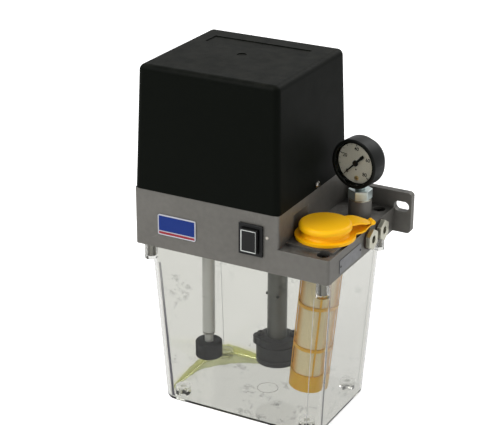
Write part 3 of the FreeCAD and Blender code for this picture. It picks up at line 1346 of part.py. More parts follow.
def spur_gear(name, node, bore, x, y, turn):
    body = new_body(name)
    pad(body, "Root", circles(body, "RootOutline", "XY_Plane", "0", [("0", "0")], "gear_root * 2"), "gear_face")
    half = "gear_module * 1.5708 / 2"
    tooth = pad(body, "Tooth", outline(body, "ToothOutline", "XY_Plane", "0", [
        ("gear_root * 0.9", f"-{half} * 1.5"), ("gear_root + 0.2", f"-{half} * 1.4"),
        ("gear_pitch / 2", f"-{half} * 0.66"), ("gear_outer", f"-{half} * 0.22"), ("gear_outer", f"{half} * 0.22"),
        ("gear_pitch / 2", f"{half} * 0.66"), ("gear_root + 0.2", f"{half} * 1.4"), ("gear_root * 0.9", f"{half} * 1.5")]),
        "gear_face")
    repeat_round(body, "Teeth", [tooth], SIZES["gear_teeth"])
    pocket(body, "Bore", circles(body, "BoreOutline", "XY_Plane", "gear_face", [("0", "0")], bore))
    return finish(place(body, x, y, "pump_split + gear_gap / 2", turn), node)


def idler_pin():
    pin = cylinder("IdlerPin", "pump_x + gear_pitch * cos(idler_angle)", "pump_y + gear_pitch * sin(idler_angle)",
                   "pump_split", "idler_pin / 2", "gear_face + gear_gap + pin_grip")
    return finish(pin, "idler_pin")


def drive_shaft():
    profile = [("0", "pump_split - cover_top / 2"), ("shaft_diameter / 2", "pump_split - cover_top / 2"),
               ("shaft_diameter / 2", "coupling_foot + shaft_grip"), ("0", "coupling_foot + shaft_grip")]
    return finish(at_pump("DriveShaft", profile), "drive_shaft")


def shaft_bushes():
    bore = "shaft_diameter / 2 + shaft_clearance"
    upper = "casting_foot + spigot_height - bush_height - seal_height"
    rings = []
    for name, outer, low, high in (("Lower", "shaft_diameter / 2 + bush_wall", "gear_top", "pump_top"),
                                   ("Upper", "spigot_bore / 2", upper, upper + " + bush_height")):
        rings.append(at_pump(name + "Bush", [(bore, low), (outer, low), (outer, high), (bore, high)]))
    return finish(group("ShaftBushes", rings), "shaft_bushes")


def shaft_seal():
    low, high = "casting_foot + spigot_height - seal_height", "casting_foot + spigot_height"
    bore = "shaft_diameter / 2 + shaft_clearance"
    profile = [(bore, low), ("spigot_bore / 2", low), ("spigot_bore / 2", high), (bore + " + 1", high),
               (bore, high + " - seal_height / 2")]
    return finish(at_pump("ShaftSeal", profile), "shaft_seal")


def shaft_coupling():
    step = "shaft_grip + 1"
    profile = [("shaft_diameter / 2", "0"), ("coupling_diameter / 2", "0"), ("coupling_diameter / 2", "coupling_length"),
               ("motor_shaft / 2", "coupling_length"), ("motor_shaft / 2", step), ("shaft_diameter / 2", step)]
    return finish(at_pump("ShaftCoupling", profile, "coupling_foot"), "shaft_coupling")


# Motor on its stand above the pump column.

def leg_centres():
    return spread("leg_reach", ["45", "135", "225", "315"])


def motor_stand():
    body = new_body("MotorStand")
    pad(body, "Plate", circles(body, "PlateOutline", "XY_Plane", "stand_top - stand_wall", [("0", "0")],
                               "stand_diameter"), "stand_wall")
    pad(body, "Legs", circles(body, "LegOutline", "XY_Plane", "floor_top", leg_centres(), "leg_diameter"),
        "stand_height")
    pocket(body, "Opening", circles(body, "OpeningOutline", "XY_Plane", "stand_top", [("0", "0")], "stand_opening"),
           "stand_wall")
    pocket(body, "MotorScrewHoles", circles(body, "MotorScrewHoleOutline", "XY_Plane", "stand_top",
                                            spread("motor_screw_reach", ["0", "90", "180", "270"]),
                                            "small_screw + 0.4"), "stand_wall")
    pocket(body, "LegThreads", circles(body, "LegThreadOutline", "XY_Plane", "floor_top", leg_centres(), "small_screw"),
           "stand_grip", Reversed=True)
    return finish(place(body, "pump_x", "pump_y", "0"), "motor_stand")


def screw_ring(name, node, centres, seat, grip):
    """Screws that stand upright, with their heads below the seat."""
    body = new_body(name)
    pad(body, "Shanks", circles(body, "ShankOutline", "XY_Plane", seat, centres, "small_screw"), grip)
    pad(body, "Heads", circles(body, "HeadOutline", "XY_Plane", f"{seat} - small_head_height", centres, "small_head"),
        "small_head_height")
    pocket(body, "Sockets", sockets(body, "SocketOutline", f"{seat} - small_head_height", centres, "small_head / 2"),
           "small_head_height / 2", Reversed=True)
    return finish(place(body, "pump_x", "pump_y", "0"), node)


def motor_housing():
    outer, inner = "motor_diameter / 2", "(motor_diameter / 2 - motor_wall)"
    seat, hole = "bearing_diameter / 2", "(motor_shaft / 2 + 1)"
    shield, shelf = "motor_shield", "(motor_shield - bearing_width)"
    high = "motor_length"
    body = new_body("MotorHousing")
    revolve(body, "Can", outline(body, "CanSection", "XZ_Plane", "0", [
        (hole, "0"), (outer, "0"), (outer, high), ("0", high), ("0", f"{high} - {shelf}"),
        (seat, f"{high} - {shelf}"), (seat, f"{high} - {shield}"), (inner, f"{high} - {shield}"), (inner, shield),
        (seat, shield), (seat, shelf), (hole, shelf)]))
    pocket(body, "ScrewThreads", circles(body, "ScrewThreadOutline", "XY_Plane", "0",
                                         spread("motor_screw_reach", ["0", "90", "180", "270"]), "small_screw"),
           "motor_grip", Reversed=True)
    return finish(place(body, "pump_x", "pump_y", "stand_top"), "motor_housing")


def motor_stator():
    middle = "motor_length / 2"
    low, high = f"{middle} - rotor_length / 2", f"{middle} + rotor_length / 2"
    profile = [("stator_bore / 2", low), ("motor_diameter / 2 - motor_wall", low),
               ("motor_diameter / 2 - motor_wall", high), ("stator_bore / 2", high)]
    return finish(at_pump("MotorStator", profile, "stand_top"), "motor_stator")


def motor_rotor():
    shaft, core = "motor_shaft / 2", "rotor_diameter / 2"
    low, high = "motor_length / 2 - rotor_length / 2", "motor_length / 2 + rotor_length / 2"
    foot = "coupling_foot - stand_top + shaft_grip + 1"
    head = "motor_length - motor_shield + bearing_width"
    profile = [("0", foot), (shaft, foot), (shaft, low), (core, low), (core, high), (shaft, high),
               (shaft, head), ("0", head)]
    return finish(at_pump("MotorRotor", profile, "stand_top"), "motor_rotor")


def motor_bearings():
    bore, outer = "motor_shaft / 2 + shaft_clearance", "bearing_diameter / 2"
    rings = []
    for name, low in (("Lower", "motor_shield - bearing_width"), ("Upper", "motor_length - motor_shield")):
        high = f"{low} + bearing_width"
        rings.append(at_pump(name + "Bearing", [(bore, low), (outer, low), (outer, high), (bore, high)], "stand_top"))
    return finish(group("MotorBearings", rings), "motor_bearings")


# Control board and the cable entry. No cord is part of the assembly.

def control_board():
    board = box("ControlBoard", "board_x", "hood_middle - board_width / 2", "board_foot", "board_thickness",
                "board_width", "board_height")
    return finish(board, "control_board")


def board_bracket():
    body = new_body("BoardBracket")
    pad(body, "Angle", outline(body, "AngleSection", "XZ_Plane", "0", [
        ("-bracket_foot", "0"), ("0", "0"), ("0", "bracket_height"), ("-bracket_sheet", "bracket_height"),
        ("-bracket_sheet", "bracket_sheet"), ("-bracket_foot", "bracket_sheet")]), "board_width", Midplane=True)
    return finish(place(body, "board_x", "hood_middle", "floor_top"), "board_bracket")


def terminal_block():
    body = new_body("TerminalBlock")
    pad(body, "Block", rectangle(body, "BlockOutline", "XY_Plane", "0", "-terminal_depth", "0", "-terminal_width / 2",
                                 "terminal_width / 2"), "terminal_height")
    pocket(body, "Screws", circles(body, "ScrewOutlines", "XY_Plane", "terminal_height",
                                   [("-terminal_depth / 2", f"terminal_width / 6 * {i}") for i in (-2.5, -1.5, -0.5, 0.5, 1.5, 2.5)],
                                   "terminal_depth / 2.4"), "terminal_height / 2")
    return finish(place(body, "board_x", "hood_middle", "board_foot + terminal_rise"), "terminal_block")


def cable_gland():
    body = new_body("CableGland")
    pad(body, "Thread", circles(body, "ThreadOutline", "YZ_Plane", "0", [("0", "0")], "gland_thread"),
        "seat_wall + gland_nut_height + 2")
    pad(body, "Hexagon", hexagon(body, "HexagonOutline", "YZ_Plane", "-gland_hex", flats="gland_flats"), "gland_hex")
    dome = pad(body, "Dome", circles(body, "DomeOutline", "YZ_Plane", "-gland_hex - gland_dome", [("0", "0")],
                                     "gland_thread + 1.5"), "gland_dome")
    edge_x = -size("gland_hex") - size("gland_dome")
    dress(body, "DomeEdge", dome, lambda edge: all(near(v.Point.x, edge_x) for v in edge.Vertexes), "gland_round")
    pocket(body, "CableBore", circles(body, "CableBoreOutline", "YZ_Plane", "seat_wall * 3", [("0", "0")],
                                      "gland_bore"))
    return finish(place(body, "-half_width", "gland_y", "gland_z"), "cable_gland")


def gland_nut():
    body = new_body("GlandNut")
    pad(body, "Nut", hexagon(body, "NutOutline", "YZ_Plane", "0", flats="gland_flats"), "gland_nut_height")
    pocket(body, "Thread", circles(body, "ThreadOutline", "YZ_Plane", "gland_nut_height", [("0", "0")],
                                   "gland_thread + 0.1"))
    return finish(place(body, "seat_wall - half_width", "gland_y", "gland_z"), "gland_nut")


def build():
    """Make every sub-part in turn."""
    fill_sheet()
    for make in (base_casting, hood, hood_screws, reservoir, reservoir_gasket, reservoir_screws, reservoir_inserts,
                 badge_plate, type_plate, switch_frame, switch_button, pilot_lamp, filler_collar, filler_cap,
                 filler_strainer, strainer_mesh, gauge_case, gauge_lens, gauge_dial, gauge_needle, gauge_stem,
                 gauge_movement, bourdon_tube, gauge_adapter, gauge_washer):
        make()
    outlet_fitting("FrontOutlet", "outlet_fitting_front", "outlet_y")
    outlet_fitting("RearOutlet", "outlet_fitting_rear", "outlet_rear_y")
    for make in (outlet_washers, gallery_plug, float_tube, float_stem, level_float, float_stops, pump_column,
                 pump_body, suction_cover, suction_screen, pump_screws, idler_pin, drive_shaft, shaft_bushes,
                 shaft_seal, shaft_coupling, motor_stand, motor_housing, motor_stator, motor_rotor, motor_bearings,
                 control_board, board_bracket, terminal_block, cable_gland, gland_nut):
        make()
    spur_gear("DriveGear", "drive_gear", "shaft_diameter", "pump_x", "pump_y", "idler_angle")
    spur_gear("IdlerGear", "idler_gear", "idler_pin + 0.1", "pump_x + gear_pitch * cos(idler_angle)",
              "pump_y + gear_pitch * sin(idler_angle)", "idler_angle + 180 + 180 / gear_teeth")
    screw_ring("StandScrews", "stand_screws", leg_centres(), "casting_foot", "casting_floor + stand_grip")
    motor_ring = spread("motor_screw_reach", ["0", "90", "180", "270"])
    screw_ring("MotorScrews", "motor_screws", motor_ring, "(stand_top - stand_wall)", "stand_wall + motor_grip")
    document.recompute()


def check():
    """Report every broken object; return True when all is sound."""
    sound = True
    for item in document.Objects:
        faults = [state for state in item.State if state in ("Invalid", "Error")]
        if faults:
            print("fault:", item.Name, item.Label, faults, item.getStatusString())
            sound = False
    for item in finished:
        shape = item.Shape
        if shape.isNull() or not shape.isValid() or not shape.Solids:
            print("bad shape:", item.Label)
            sound = False
    return sound


def export():
    os.makedirs(PARTS_FOLDER, exist_ok=True)
    for item in finished:
        item.Shape.exportStep(os.path.join(PARTS_FOLDER, item.Label + ".step"))


build()
if not check():
    sys.exit("the document has faults, nothing was written")
export()
for item in finished:
    box_of = item.Shape.BoundBox
    print(f"{item.Label:22s} solids {len(item.Shape.Solids)} volume {item.Shape.Volume:10.0f}"
          f" x {box_of.XMin:7.1f} {box_of.XMax:7.1f} y {box_of.YMin:7.1f} {box_of.YMax:7.1f}"
          f" z {box_of.ZMin:7.1f} {box_of.ZMax:7.1f}")
print(len(finished), "sub-parts written")
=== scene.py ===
"""Looks of the lubricating oil pump: its finishes, its fine pieces, and the studio it stands in."""

import json
import logging
import math
from collections.abc import Iterable
from dataclasses import dataclass
from enum import Enum
from itertools import pairwise
from typing import ClassVar

import bmesh
import bpy
from mathutils import Matrix, Vector, noise


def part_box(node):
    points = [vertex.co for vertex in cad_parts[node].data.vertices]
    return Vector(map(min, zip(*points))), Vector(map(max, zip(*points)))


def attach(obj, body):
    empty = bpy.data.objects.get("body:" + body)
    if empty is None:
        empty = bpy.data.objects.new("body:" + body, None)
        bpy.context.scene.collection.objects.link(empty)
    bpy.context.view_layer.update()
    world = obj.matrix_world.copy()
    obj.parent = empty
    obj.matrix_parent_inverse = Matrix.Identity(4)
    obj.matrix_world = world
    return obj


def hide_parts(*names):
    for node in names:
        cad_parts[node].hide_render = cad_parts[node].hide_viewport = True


Pair = tuple[float, float]
Point = tuple[float, float, float]
Colour = tuple[float, float, float]
Mesh = bmesh.types.BMesh
Socket = bpy.types.NodeSocket
Rounds = ClassVar[dict[str, float]]

LOG = logging.getLogger("oil_pump")
MM = 0.001
WHITE = (1.0, 1.0, 1.0)
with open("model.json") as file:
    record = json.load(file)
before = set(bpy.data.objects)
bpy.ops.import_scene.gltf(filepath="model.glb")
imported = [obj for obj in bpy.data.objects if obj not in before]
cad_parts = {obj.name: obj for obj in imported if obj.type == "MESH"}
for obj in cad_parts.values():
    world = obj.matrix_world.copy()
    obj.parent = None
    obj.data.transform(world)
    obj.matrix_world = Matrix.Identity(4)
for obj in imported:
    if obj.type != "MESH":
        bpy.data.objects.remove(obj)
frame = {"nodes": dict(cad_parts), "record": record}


def from_hex(code: str) -> Colour:
    """Turn a six-digit screen colour into linear values by the screen's own curve.

    Args:
        code: the screen colour.

    Returns:
        The linear red, green and blue.
    """
    parts = [int(code[i:i + 2], 16) / 255 for i in (0, 2, 4)]
    linear = [p / 12.92 if p <= 0.04045 else ((p + 0.055) / 1.055) ** 2.4 for p in parts]
    return linear[0], linear[1], linear[2]


class Graph:
    """Short way to add shader nodes to one tree and to join them."""

    def __init__(self, tree: bpy.types.NodeTree) -> None:
        """Keep the tree to build in."""
        self.tree = tree

    def node(self, kind: str, settings: dict | None = None, **inputs: object) -> bpy.types.Node:
        """Add one node.

        Args:
            kind: the node's type, without its ShaderNode prefix.
            settings: attributes to set on the node.
            inputs: values or sockets for its inputs: i0 and i1 by number, others by name with _ for a space.

        Returns:
            The new node.
        """
        made = self.tree.nodes.new("ShaderNode" + kind)
        for key, value in (settings or {}).items():
            setattr(made, key, value)
        for key, value in inputs.items():
            name = int(key[1:]) if key[0] == "i" and key[1:].isdigit() else key.replace("_", " ")
            self.feed(made.inputs[name], value)
        return made

    def feed(self, socket: Socket, value: object) -> None:
        """Link a socket to an input, or write a plain value into it.

        Args:
            socket: the input.
            value: a socket, a number or a colour.
        """
        if isinstance(value, Socket):
            self.tree.links.new(value, socket)
        elif isinstance(value, tuple) and socket.type == "RGBA":
            socket.default_value = (*value, 1.0)
        else:
            socket.default_value = value

    def math(self, operation: str, first: object, second: object = 0.0, clamp: bool = False) -> Socket:
        """Add a Math node and return its result."""
        return self.node("Math", {"operation": operation, "use_clamp": clamp}, i0=first, i1=second).outputs[0]

    def product(self, *values: object, clamp: bool = False) -> Socket:
        """Multiply values in turn; clamp holds the last product between 0 and 1.

        Args:
            values: the sockets or numbers.
            clamp: whether the last product is held.

        Returns:
            The product.
        """
        made = values[0]
        for count, value in enumerate(values[1:], 2):
            made = self.math("MULTIPLY", made, value, clamp and count == len(values))
        return made

    def centred(self, value: Socket) -> Socket:
        """Move a noise value to either side of zero."""
        return self.math("SUBTRACT", value, 0.5)

    def vector(self, operation: str, first: object, second: object) -> Socket:
        """Add a Vector Math node and return its result."""
        made = self.node("VectorMath", {"operation": operation}, i0=first, i1=second)
        return made.outputs["Value" if operation == "DOT_PRODUCT" else "Vector"]

    def axes(self, vector: Socket) -> bpy.types.NodeOutputs:
        """Split a vector into its three parts."""
        return self.node("SeparateXYZ", Vector=vector).outputs

    def ramp(self, value: object, low: object, high: object, start: float = 0.0, end: float = 1.0) -> Socket:
        """Map a value between two bounds onto another span, with soft ends.

        Args:
            value: what is mapped.
            low: its lower bound.
            high: its upper bound.
            start: the result at the lower bound.
            end: the result at the upper bound.

        Returns:
            The result.
        """
        made = self.node("MapRange", {"interpolation_type": "SMOOTHSTEP"}, Value=value, From_Min=low,
                         From_Max=high, To_Min=start, To_Max=end)
        return made.outputs[0]

    def mix(self, factor: object, first: object, second: object) -> Socket:
        """Mix two colours and return the result."""
        made = self.node("Mix", {"data_type": "RGBA"}, i0=factor, i6=first, i7=second)
        return made.outputs[2]

    def place(self) -> Socket:
        """Return the object coordinate."""
        return self.node("TexCoord").outputs["Object"]

    def noise(self, place: Socket, scale: object, detail: float = 2.0, **more: float) -> Socket:
        """Add a Noise texture and return its value."""
        return self.node("TexNoise", Vector=place, Scale=scale, Detail=detail, **more).outputs[0]


class Effect(Enum):
    """The shared surface effects; each is one node group."""

    GRAIN = "Grain"
    BRUSH = "Brush"
    TONE = "Tone"
    WEAR = "Edge wear"
    DUST = "Dust"
    SMUDGE = "Smudge"
    SCRATCH = "Scratch"
    OIL = "Oil residue"
    CAVITY = "Cavity"
    SCUFF = "Scuff"


class EffectLibrary:
    """Builds each shared effect once and hands out group nodes."""

    def __init__(self) -> None:
        """Start with no group built."""
        self.groups: dict[Effect, bpy.types.NodeTree] = {}

    def _start(self, effect: Effect, inputs: dict[str, float | Colour], output: str = "Mask",
               kind: str = "Float") -> tuple[Graph, dict[str, Socket], Socket]:
        """Make an empty group with named sockets.

        Args:
            effect: the effect that the group is for.
            inputs: its input names and first values.
            output: the name of its one output.
            kind: Float or Color.

        Returns:
            The graph, the input sockets by name and the output socket.
        """
        tree = bpy.data.node_groups.new(effect.value, "ShaderNodeTree")
        for name, value in inputs.items():
            colour = isinstance(value, tuple)
            socket = tree.interface.new_socket(name, in_out="INPUT",
                                               socket_type="NodeSocketColor" if colour else "NodeSocketFloat")
            socket.default_value = (*value, 1.0) if colour else value
        tree.interface.new_socket(output, in_out="OUTPUT", socket_type="NodeSocket" + kind)
        self.groups[effect] = tree
        entry = tree.nodes.new("NodeGroupInput")
        leave = tree.nodes.new("NodeGroupOutput")
        return Graph(tree), {name: entry.outputs[name] for name in inputs}, leave.inputs[output]

    def use(self, graph: Graph, effect: Effect, **inputs: object) -> Socket:
        """Place an effect in a material.

        Args:
            graph: the material's graph.
            effect: which effect.
            inputs: its input values or sockets.

        Returns:
            The effect's output.
        """
        if effect not in self.groups:
            getattr(self, "_" + effect.name.lower())()
        made = graph.tree.nodes.new("ShaderNodeGroup")
        made.node_tree = self.groups[effect]
        for key, value in inputs.items():
            graph.feed(made.inputs[key], value)
        return made.outputs[0]

    def _grain(self) -> None:
        """Fine pebbled height of castings and moulded plastic."""
        graph, given, out = self._start(Effect.GRAIN, {"Scale": 900.0, "Depth": 1.0}, "Height")
        place = graph.place()
        fine = graph.noise(place, given["Scale"], 3.0, Roughness=0.6)
        pebbles = graph.node("TexVoronoi", Vector=place, Scale=graph.product(given["Scale"], 0.6)).outputs[0]
        both = graph.math("ADD", fine, graph.product(pebbles, 0.5))
        graph.feed(out, graph.product(both, given["Depth"]))

    def _brush(self) -> None:
        """Fine parallel lines left by machining or drawing."""
        graph, given, out = self._start(Effect.BRUSH, {"Across": 1400.0, "Along": 25.0, "Depth": 1.0}, "Height")
        stretch = graph.node("CombineXYZ", X=given["Along"], Y=given["Along"], Z=given["Across"])
        lines = graph.noise(graph.vector("MULTIPLY", graph.place(), stretch.outputs[0]), 1.0)
        graph.feed(out, graph.product(lines, given["Depth"]))

    def _tone(self) -> None:
        """Uneven colour: broad clouds and small specks."""
        graph, given, out = self._start(Effect.TONE, {"Colour": (0.5, 0.5, 0.5), "Amount": 0.2, "Scale": 30.0},
                                        "Colour", "Color")
        place = graph.place()
        broad = graph.noise(place, given["Scale"], 4.0, Distortion=0.4)
        specks = graph.noise(place, graph.product(given["Scale"], 14.0))
        sway = graph.math("ADD", graph.centred(broad), graph.product(graph.centred(specks), 0.6))
        value = graph.math("ADD", graph.product(sway, given["Amount"]), 1.0)
        graph.feed(out, graph.node("HueSaturation", Value=value, Color=given["Colour"]).outputs[0])

    def _wear(self) -> None:
        """Mask of rubbed edges, broken up by noise."""
        graph, given, out = self._start(Effect.WEAR, {"Radius": 0.001, "Amount": 0.6, "Scale": 250.0})
        rounded = graph.node("Bevel", {"samples": 4}, Radius=given["Radius"]).outputs[0]
        flat = graph.node("NewGeometry").outputs["True Normal"]
        turned = graph.math("SUBTRACT", 1.0, graph.vector("DOT_PRODUCT", rounded, flat))
        edge = graph.ramp(turned, 0.01, 0.18)
        patchy = graph.ramp(graph.noise(graph.place(), given["Scale"], 5.0), 0.35, 0.6)
        graph.feed(out, graph.product(edge, patchy, given["Amount"], clamp=True))

    def _dust(self) -> None:
        """Mask of faces that look up, in patches: dust on most finishes, painted shade on the cast alloy."""
        graph, given, out = self._start(Effect.DUST, {"Amount": 0.3, "Scale": 90.0})
        up = graph.ramp(graph.axes(graph.node("NewGeometry").outputs["Normal"])[2], 0.3, 1.0)
        patchy = graph.ramp(graph.noise(graph.place(), given["Scale"], 6.0, Roughness=0.65), 0.3, 0.75)
        graph.feed(out, graph.product(up, patchy, given["Amount"], clamp=True))

    def _smudge(self) -> None:
        """Roughness that handling and oil have made uneven."""
        graph, given, out = self._start(Effect.SMUDGE, {"Roughness": 0.4, "Amount": 0.15, "Scale": 40.0},
                                        "Roughness")
        cloud = graph.noise(graph.place(), given["Scale"], 5.0, Distortion=0.8)
        sway = graph.product(graph.centred(cloud), given["Amount"])
        graph.feed(out, graph.math("ADD", sway, given["Roughness"], True))

    def _scratch(self) -> None:
        """Mask of thin random scratches."""
        graph, given, out = self._start(Effect.SCRATCH, {"Amount": 0.4, "Scale": 60.0})
        place = graph.place()
        bend = graph.node("TexNoise", Vector=place, Scale=6.0, Detail=1.0).outputs["Color"]
        cells = graph.node("TexVoronoi", {"feature": "DISTANCE_TO_EDGE"},
                           Vector=graph.vector("ADD", place, bend), Scale=given["Scale"])
        line = graph.ramp(cells.outputs[0], 0.0, 0.02, 1.0, 0.0)
        gate = graph.ramp(graph.noise(place, 30.0), 0.56, 0.66)
        graph.feed(out, graph.product(line, gate, given["Amount"], clamp=True))

    def _oil(self) -> None:
        """Mask of old oil that has crept along the foot of the left and back walls."""
        graph, given, out = self._start(Effect.OIL, {"Level": 0.012, "Amount": 1.0})
        place = graph.place()
        x, y, z = graph.axes(place)
        ragged = graph.product(graph.centred(graph.noise(place, 45.0, 4.0)), 0.012)
        low = graph.ramp(graph.math("ADD", z, ragged), 0.0, given["Level"], 1.0, 0.0)
        left_wall, left_end = graph.ramp(x, -0.0805, -0.079, 1.0, 0.0), graph.ramp(y, -0.05, -0.02)
        back_wall, back_end = graph.ramp(y, 0.053, 0.055), graph.ramp(x, -0.03, 0.01, 1.0, 0.0)
        reach = graph.math("MAXIMUM", graph.product(left_wall, left_end), graph.product(back_wall, back_end))
        graph.feed(out, graph.product(low, reach, given["Amount"], clamp=True))

    def _cavity(self) -> None:
        """Mask of corners and seams that little light reaches, used to paint shade into the colour."""
        graph, given, out = self._start(Effect.CAVITY, {"Distance": 0.004, "Low": 0.25, "High": 0.75})
        open_sky = graph.node("AmbientOcclusion", {"samples": 6}, Distance=given["Distance"]).outputs["AO"]
        graph.feed(out, graph.ramp(open_sky, given["Low"], given["High"], 1.0, 0.0))

    def _scuff(self) -> None:
        """Mask of sparse short marks and rubbed spots."""
        graph, given, out = self._start(Effect.SCUFF, {"Amount": 0.5, "Scale": 55.0, "Cover": 0.585})
        place = graph.place()
        lean = graph.vector("MULTIPLY", place, (1.0, 1.0, 1.6))
        spots = graph.noise(lean, given["Scale"], 6.0, Roughness=0.7)
        spot = graph.ramp(spots, given["Cover"], graph.math("ADD", given["Cover"], 0.04))
        zone = graph.ramp(graph.noise(place, 14.0, 1.0), 0.45, 0.6)
        graph.feed(out, graph.product(spot, zone, given["Amount"], clamp=True))


EFFECTS = EffectLibrary()


@dataclass(frozen=True)
class Finish:
    """A surface made of one shader and the shared effects.

    Attributes:
        name: the finish's name.
        colour: screen colour as six digits.
        nodes: the nodes that have it, parted by spaces.
        metallic: from 0 for plastic to 1 for bare metal.
        roughness: mean roughness.
        smudge: how uneven the roughness is.
        tone: how uneven the colour is, and at what scale.
        grain: scale and depth of the pebbled height.
        brush: depth of machining lines.
        wear: amount of edge wear.
        wear_colour: colour below worn edges and scratches.
        dust: amount of dust on upward faces; on the cast alloy it is painted shade there.
        dust_colour: its colour.
        scratch: amount of thin scratches.
        coat: clear coat weight.
        subsurface: subsurface weight.
        through: transmission weight.
        ior: index of refraction.
        specular: specular level.
        mirror: brightness of the specular tint.
        cavity: amount, reach in metres and colour of the shade painted into corners and seams.
    """

    name: str
    colour: str
    nodes: str = ""
    metallic: float = 0.0
    roughness: float = 0.45
    smudge: float = 0.15
    tone: Pair = (0.12, 30.0)
    grain: Pair = (900.0, 0.0)
    brush: float = 0.0
    wear: float = 0.0
    wear_colour: str = "b8b4a8"
    dust: float = 0.0
    dust_colour: str = "8f8b7e"
    scratch: float = 0.0
    coat: float = 0.0
    subsurface: float = 0.0
    through: float = 0.0
    ior: float = 1.5
    specular: float = 0.5
    mirror: float = 1.0
    cavity: tuple[float, float, str] = (0.0, 0.004, "1c1a15")

    SUBSURFACE_REACH: ClassVar[float] = 0.002
    BUMP_HEIGHT: ClassVar[float] = 0.0002

    def colour_socket(self, graph: Graph) -> Socket:
        """Build the colour with its variation, wear, scratches, dust, and painted shade on upward faces and in
        corners and seams.

        Args:
            graph: the material's graph.

        Returns:
            The colour.
        """
        amount, scale = self.tone
        made = EFFECTS.use(graph, Effect.TONE, Colour=from_hex(self.colour), Amount=amount, Scale=scale)
        # Upward faces: dust on most finishes, painted shade in a near-black colour on the cast alloy.
        for effect, amount, colour in ((Effect.WEAR, self.wear, self.wear_colour),
                                       (Effect.SCRATCH, self.scratch, self.wear_colour),
                                       (Effect.DUST, self.dust, self.dust_colour)):
            if amount:
                made = graph.mix(EFFECTS.use(graph, effect, Amount=amount), made, from_hex(colour))
        # Painted shade: corners and seams darken towards the shade colour.
        amount, reach, shade_colour = self.cavity
        if amount:
            mask = graph.product(EFFECTS.use(graph, Effect.CAVITY, Distance=reach), amount)
            made = graph.mix(mask, made, from_hex(shade_colour))
        return made

    def normal_socket(self, graph: Graph) -> Socket | None:
        """Build the bump from grain and machining lines, where the finish has any.

        Args:
            graph: the material's graph.

        Returns:
            The normal, or None without a bump.
        """
        scale, depth = self.grain
        normal = None
        for effect, strength, inputs in ((Effect.GRAIN, depth, {"Scale": scale}),
                                         (Effect.BRUSH, self.brush, {})):
            if not strength:
                continue
            height = EFFECTS.use(graph, effect, **inputs)
            bump = graph.node("Bump", Height=height, Strength=strength, Distance=self.BUMP_HEIGHT)
            if normal is not None:
                graph.feed(bump.inputs["Normal"], normal)
            normal = bump.outputs[0]
        return normal

    def build(self) -> bpy.types.Material:
        """Make the material, or return it where it exists.

        Returns:
            The material.
        """
        if self.name in bpy.data.materials:
            return bpy.data.materials[self.name]
        material = bpy.data.materials.new(self.name)
        material.use_nodes = True
        graph = Graph(material.node_tree)
        shader = material.node_tree.nodes["Principled BSDF"]
        plain = {"Metallic": self.metallic, "IOR": self.ior, "Specular IOR Level": self.specular,
                 "Specular Tint": (self.mirror, self.mirror, self.mirror), "Coat Weight": self.coat,
                 "Subsurface Weight": self.subsurface, "Subsurface Scale": self.SUBSURFACE_REACH,
                 "Transmission Weight": self.through}
        for name, value in plain.items():
            graph.feed(shader.inputs[name], value)
        graph.feed(shader.inputs["Base Color"], self.colour_socket(graph))
        rough = EFFECTS.use(graph, Effect.SMUDGE, Roughness=self.roughness, Amount=self.smudge)
        graph.feed(shader.inputs["Roughness"], rough)
        normal = self.normal_socket(graph)
        if normal is not None:
            graph.feed(shader.inputs["Normal"], normal)
        self.extra(graph, shader)
        return material

    def extra(self, graph: Graph, shader: bpy.types.Node) -> None:
        """Hook for finishes that change the shader further."""


@dataclass(frozen=True)
class ClearMoulding(Finish):
    """Clear moulded plastic with old oil along the foot of two walls.

    Attributes:
        oil_level: height in metres that the oil has crept to.
        oil_colour: tint of the oil.
        scuff: amount of marks and rubbed spots.
        scuff_colour: their colour.
    """

    oil_level: float = 0.014
    oil_colour: str = "e9e7a8"
    scuff: float = 0.45
    scuff_colour: str = "7f827e"

    def colour_socket(self, graph: Graph) -> Socket:
        """Tint the clear colour where old oil stands, and mark it.

        Args:
            graph: the material's graph.

        Returns:
            The colour.
        """
        made = super().colour_socket(graph)
        oil = EFFECTS.use(graph, Effect.OIL, Level=self.oil_level)
        made = graph.mix(oil, made, from_hex(self.oil_colour))
        return graph.mix(EFFECTS.use(graph, Effect.SCUFF, Amount=self.scuff), made, from_hex(self.scuff_colour))


@dataclass(frozen=True)
class WovenMesh(Finish):
    """Fine woven filter mesh.

    Attributes:
        pitch: spacing of the threads in metres.
        stacked: colour where the threads are seen one behind the other.
        axis: where the strainer's axis stands along X and Y, in metres.
        radius: the strainer's radius in metres.
    """

    pitch: float = 0.0009
    stacked: str = "f2b44e"
    axis: Pair = (0.066, -0.0265)
    radius: float = 0.0165

    def extra(self, graph: Graph, shader: bpy.types.Node) -> None:
        """Open the gaps between the threads, and stack the threads towards the sides.

        Args:
            graph: the material's graph.
            shader: the material's shader.
        """
        plain = shader.inputs["Base Color"].links[0].from_socket
        side = graph.ramp(graph.node("LayerWeight", Blend=0.5).outputs["Facing"], 0.3, 0.7)
        graph.feed(shader.inputs["Base Color"], graph.mix(side, plain, from_hex(self.stacked)))
        x, y, z = graph.axes(graph.place())
        around = graph.math("ARCTAN2", graph.math("SUBTRACT", y, self.axis[1]),
                            graph.math("SUBTRACT", x, self.axis[0]))
        turns = graph.product(around, self.radius / self.pitch * math.pi)
        rows = graph.product(z, math.pi / self.pitch)
        across, up = (graph.math("ABSOLUTE", graph.math("SINE", value)) for value in (turns, rows))
        gap = graph.math("MINIMUM", across, up)
        graph.feed(shader.inputs["Alpha"], graph.ramp(gap, 0.35, 0.75, 1.0, 0.6))


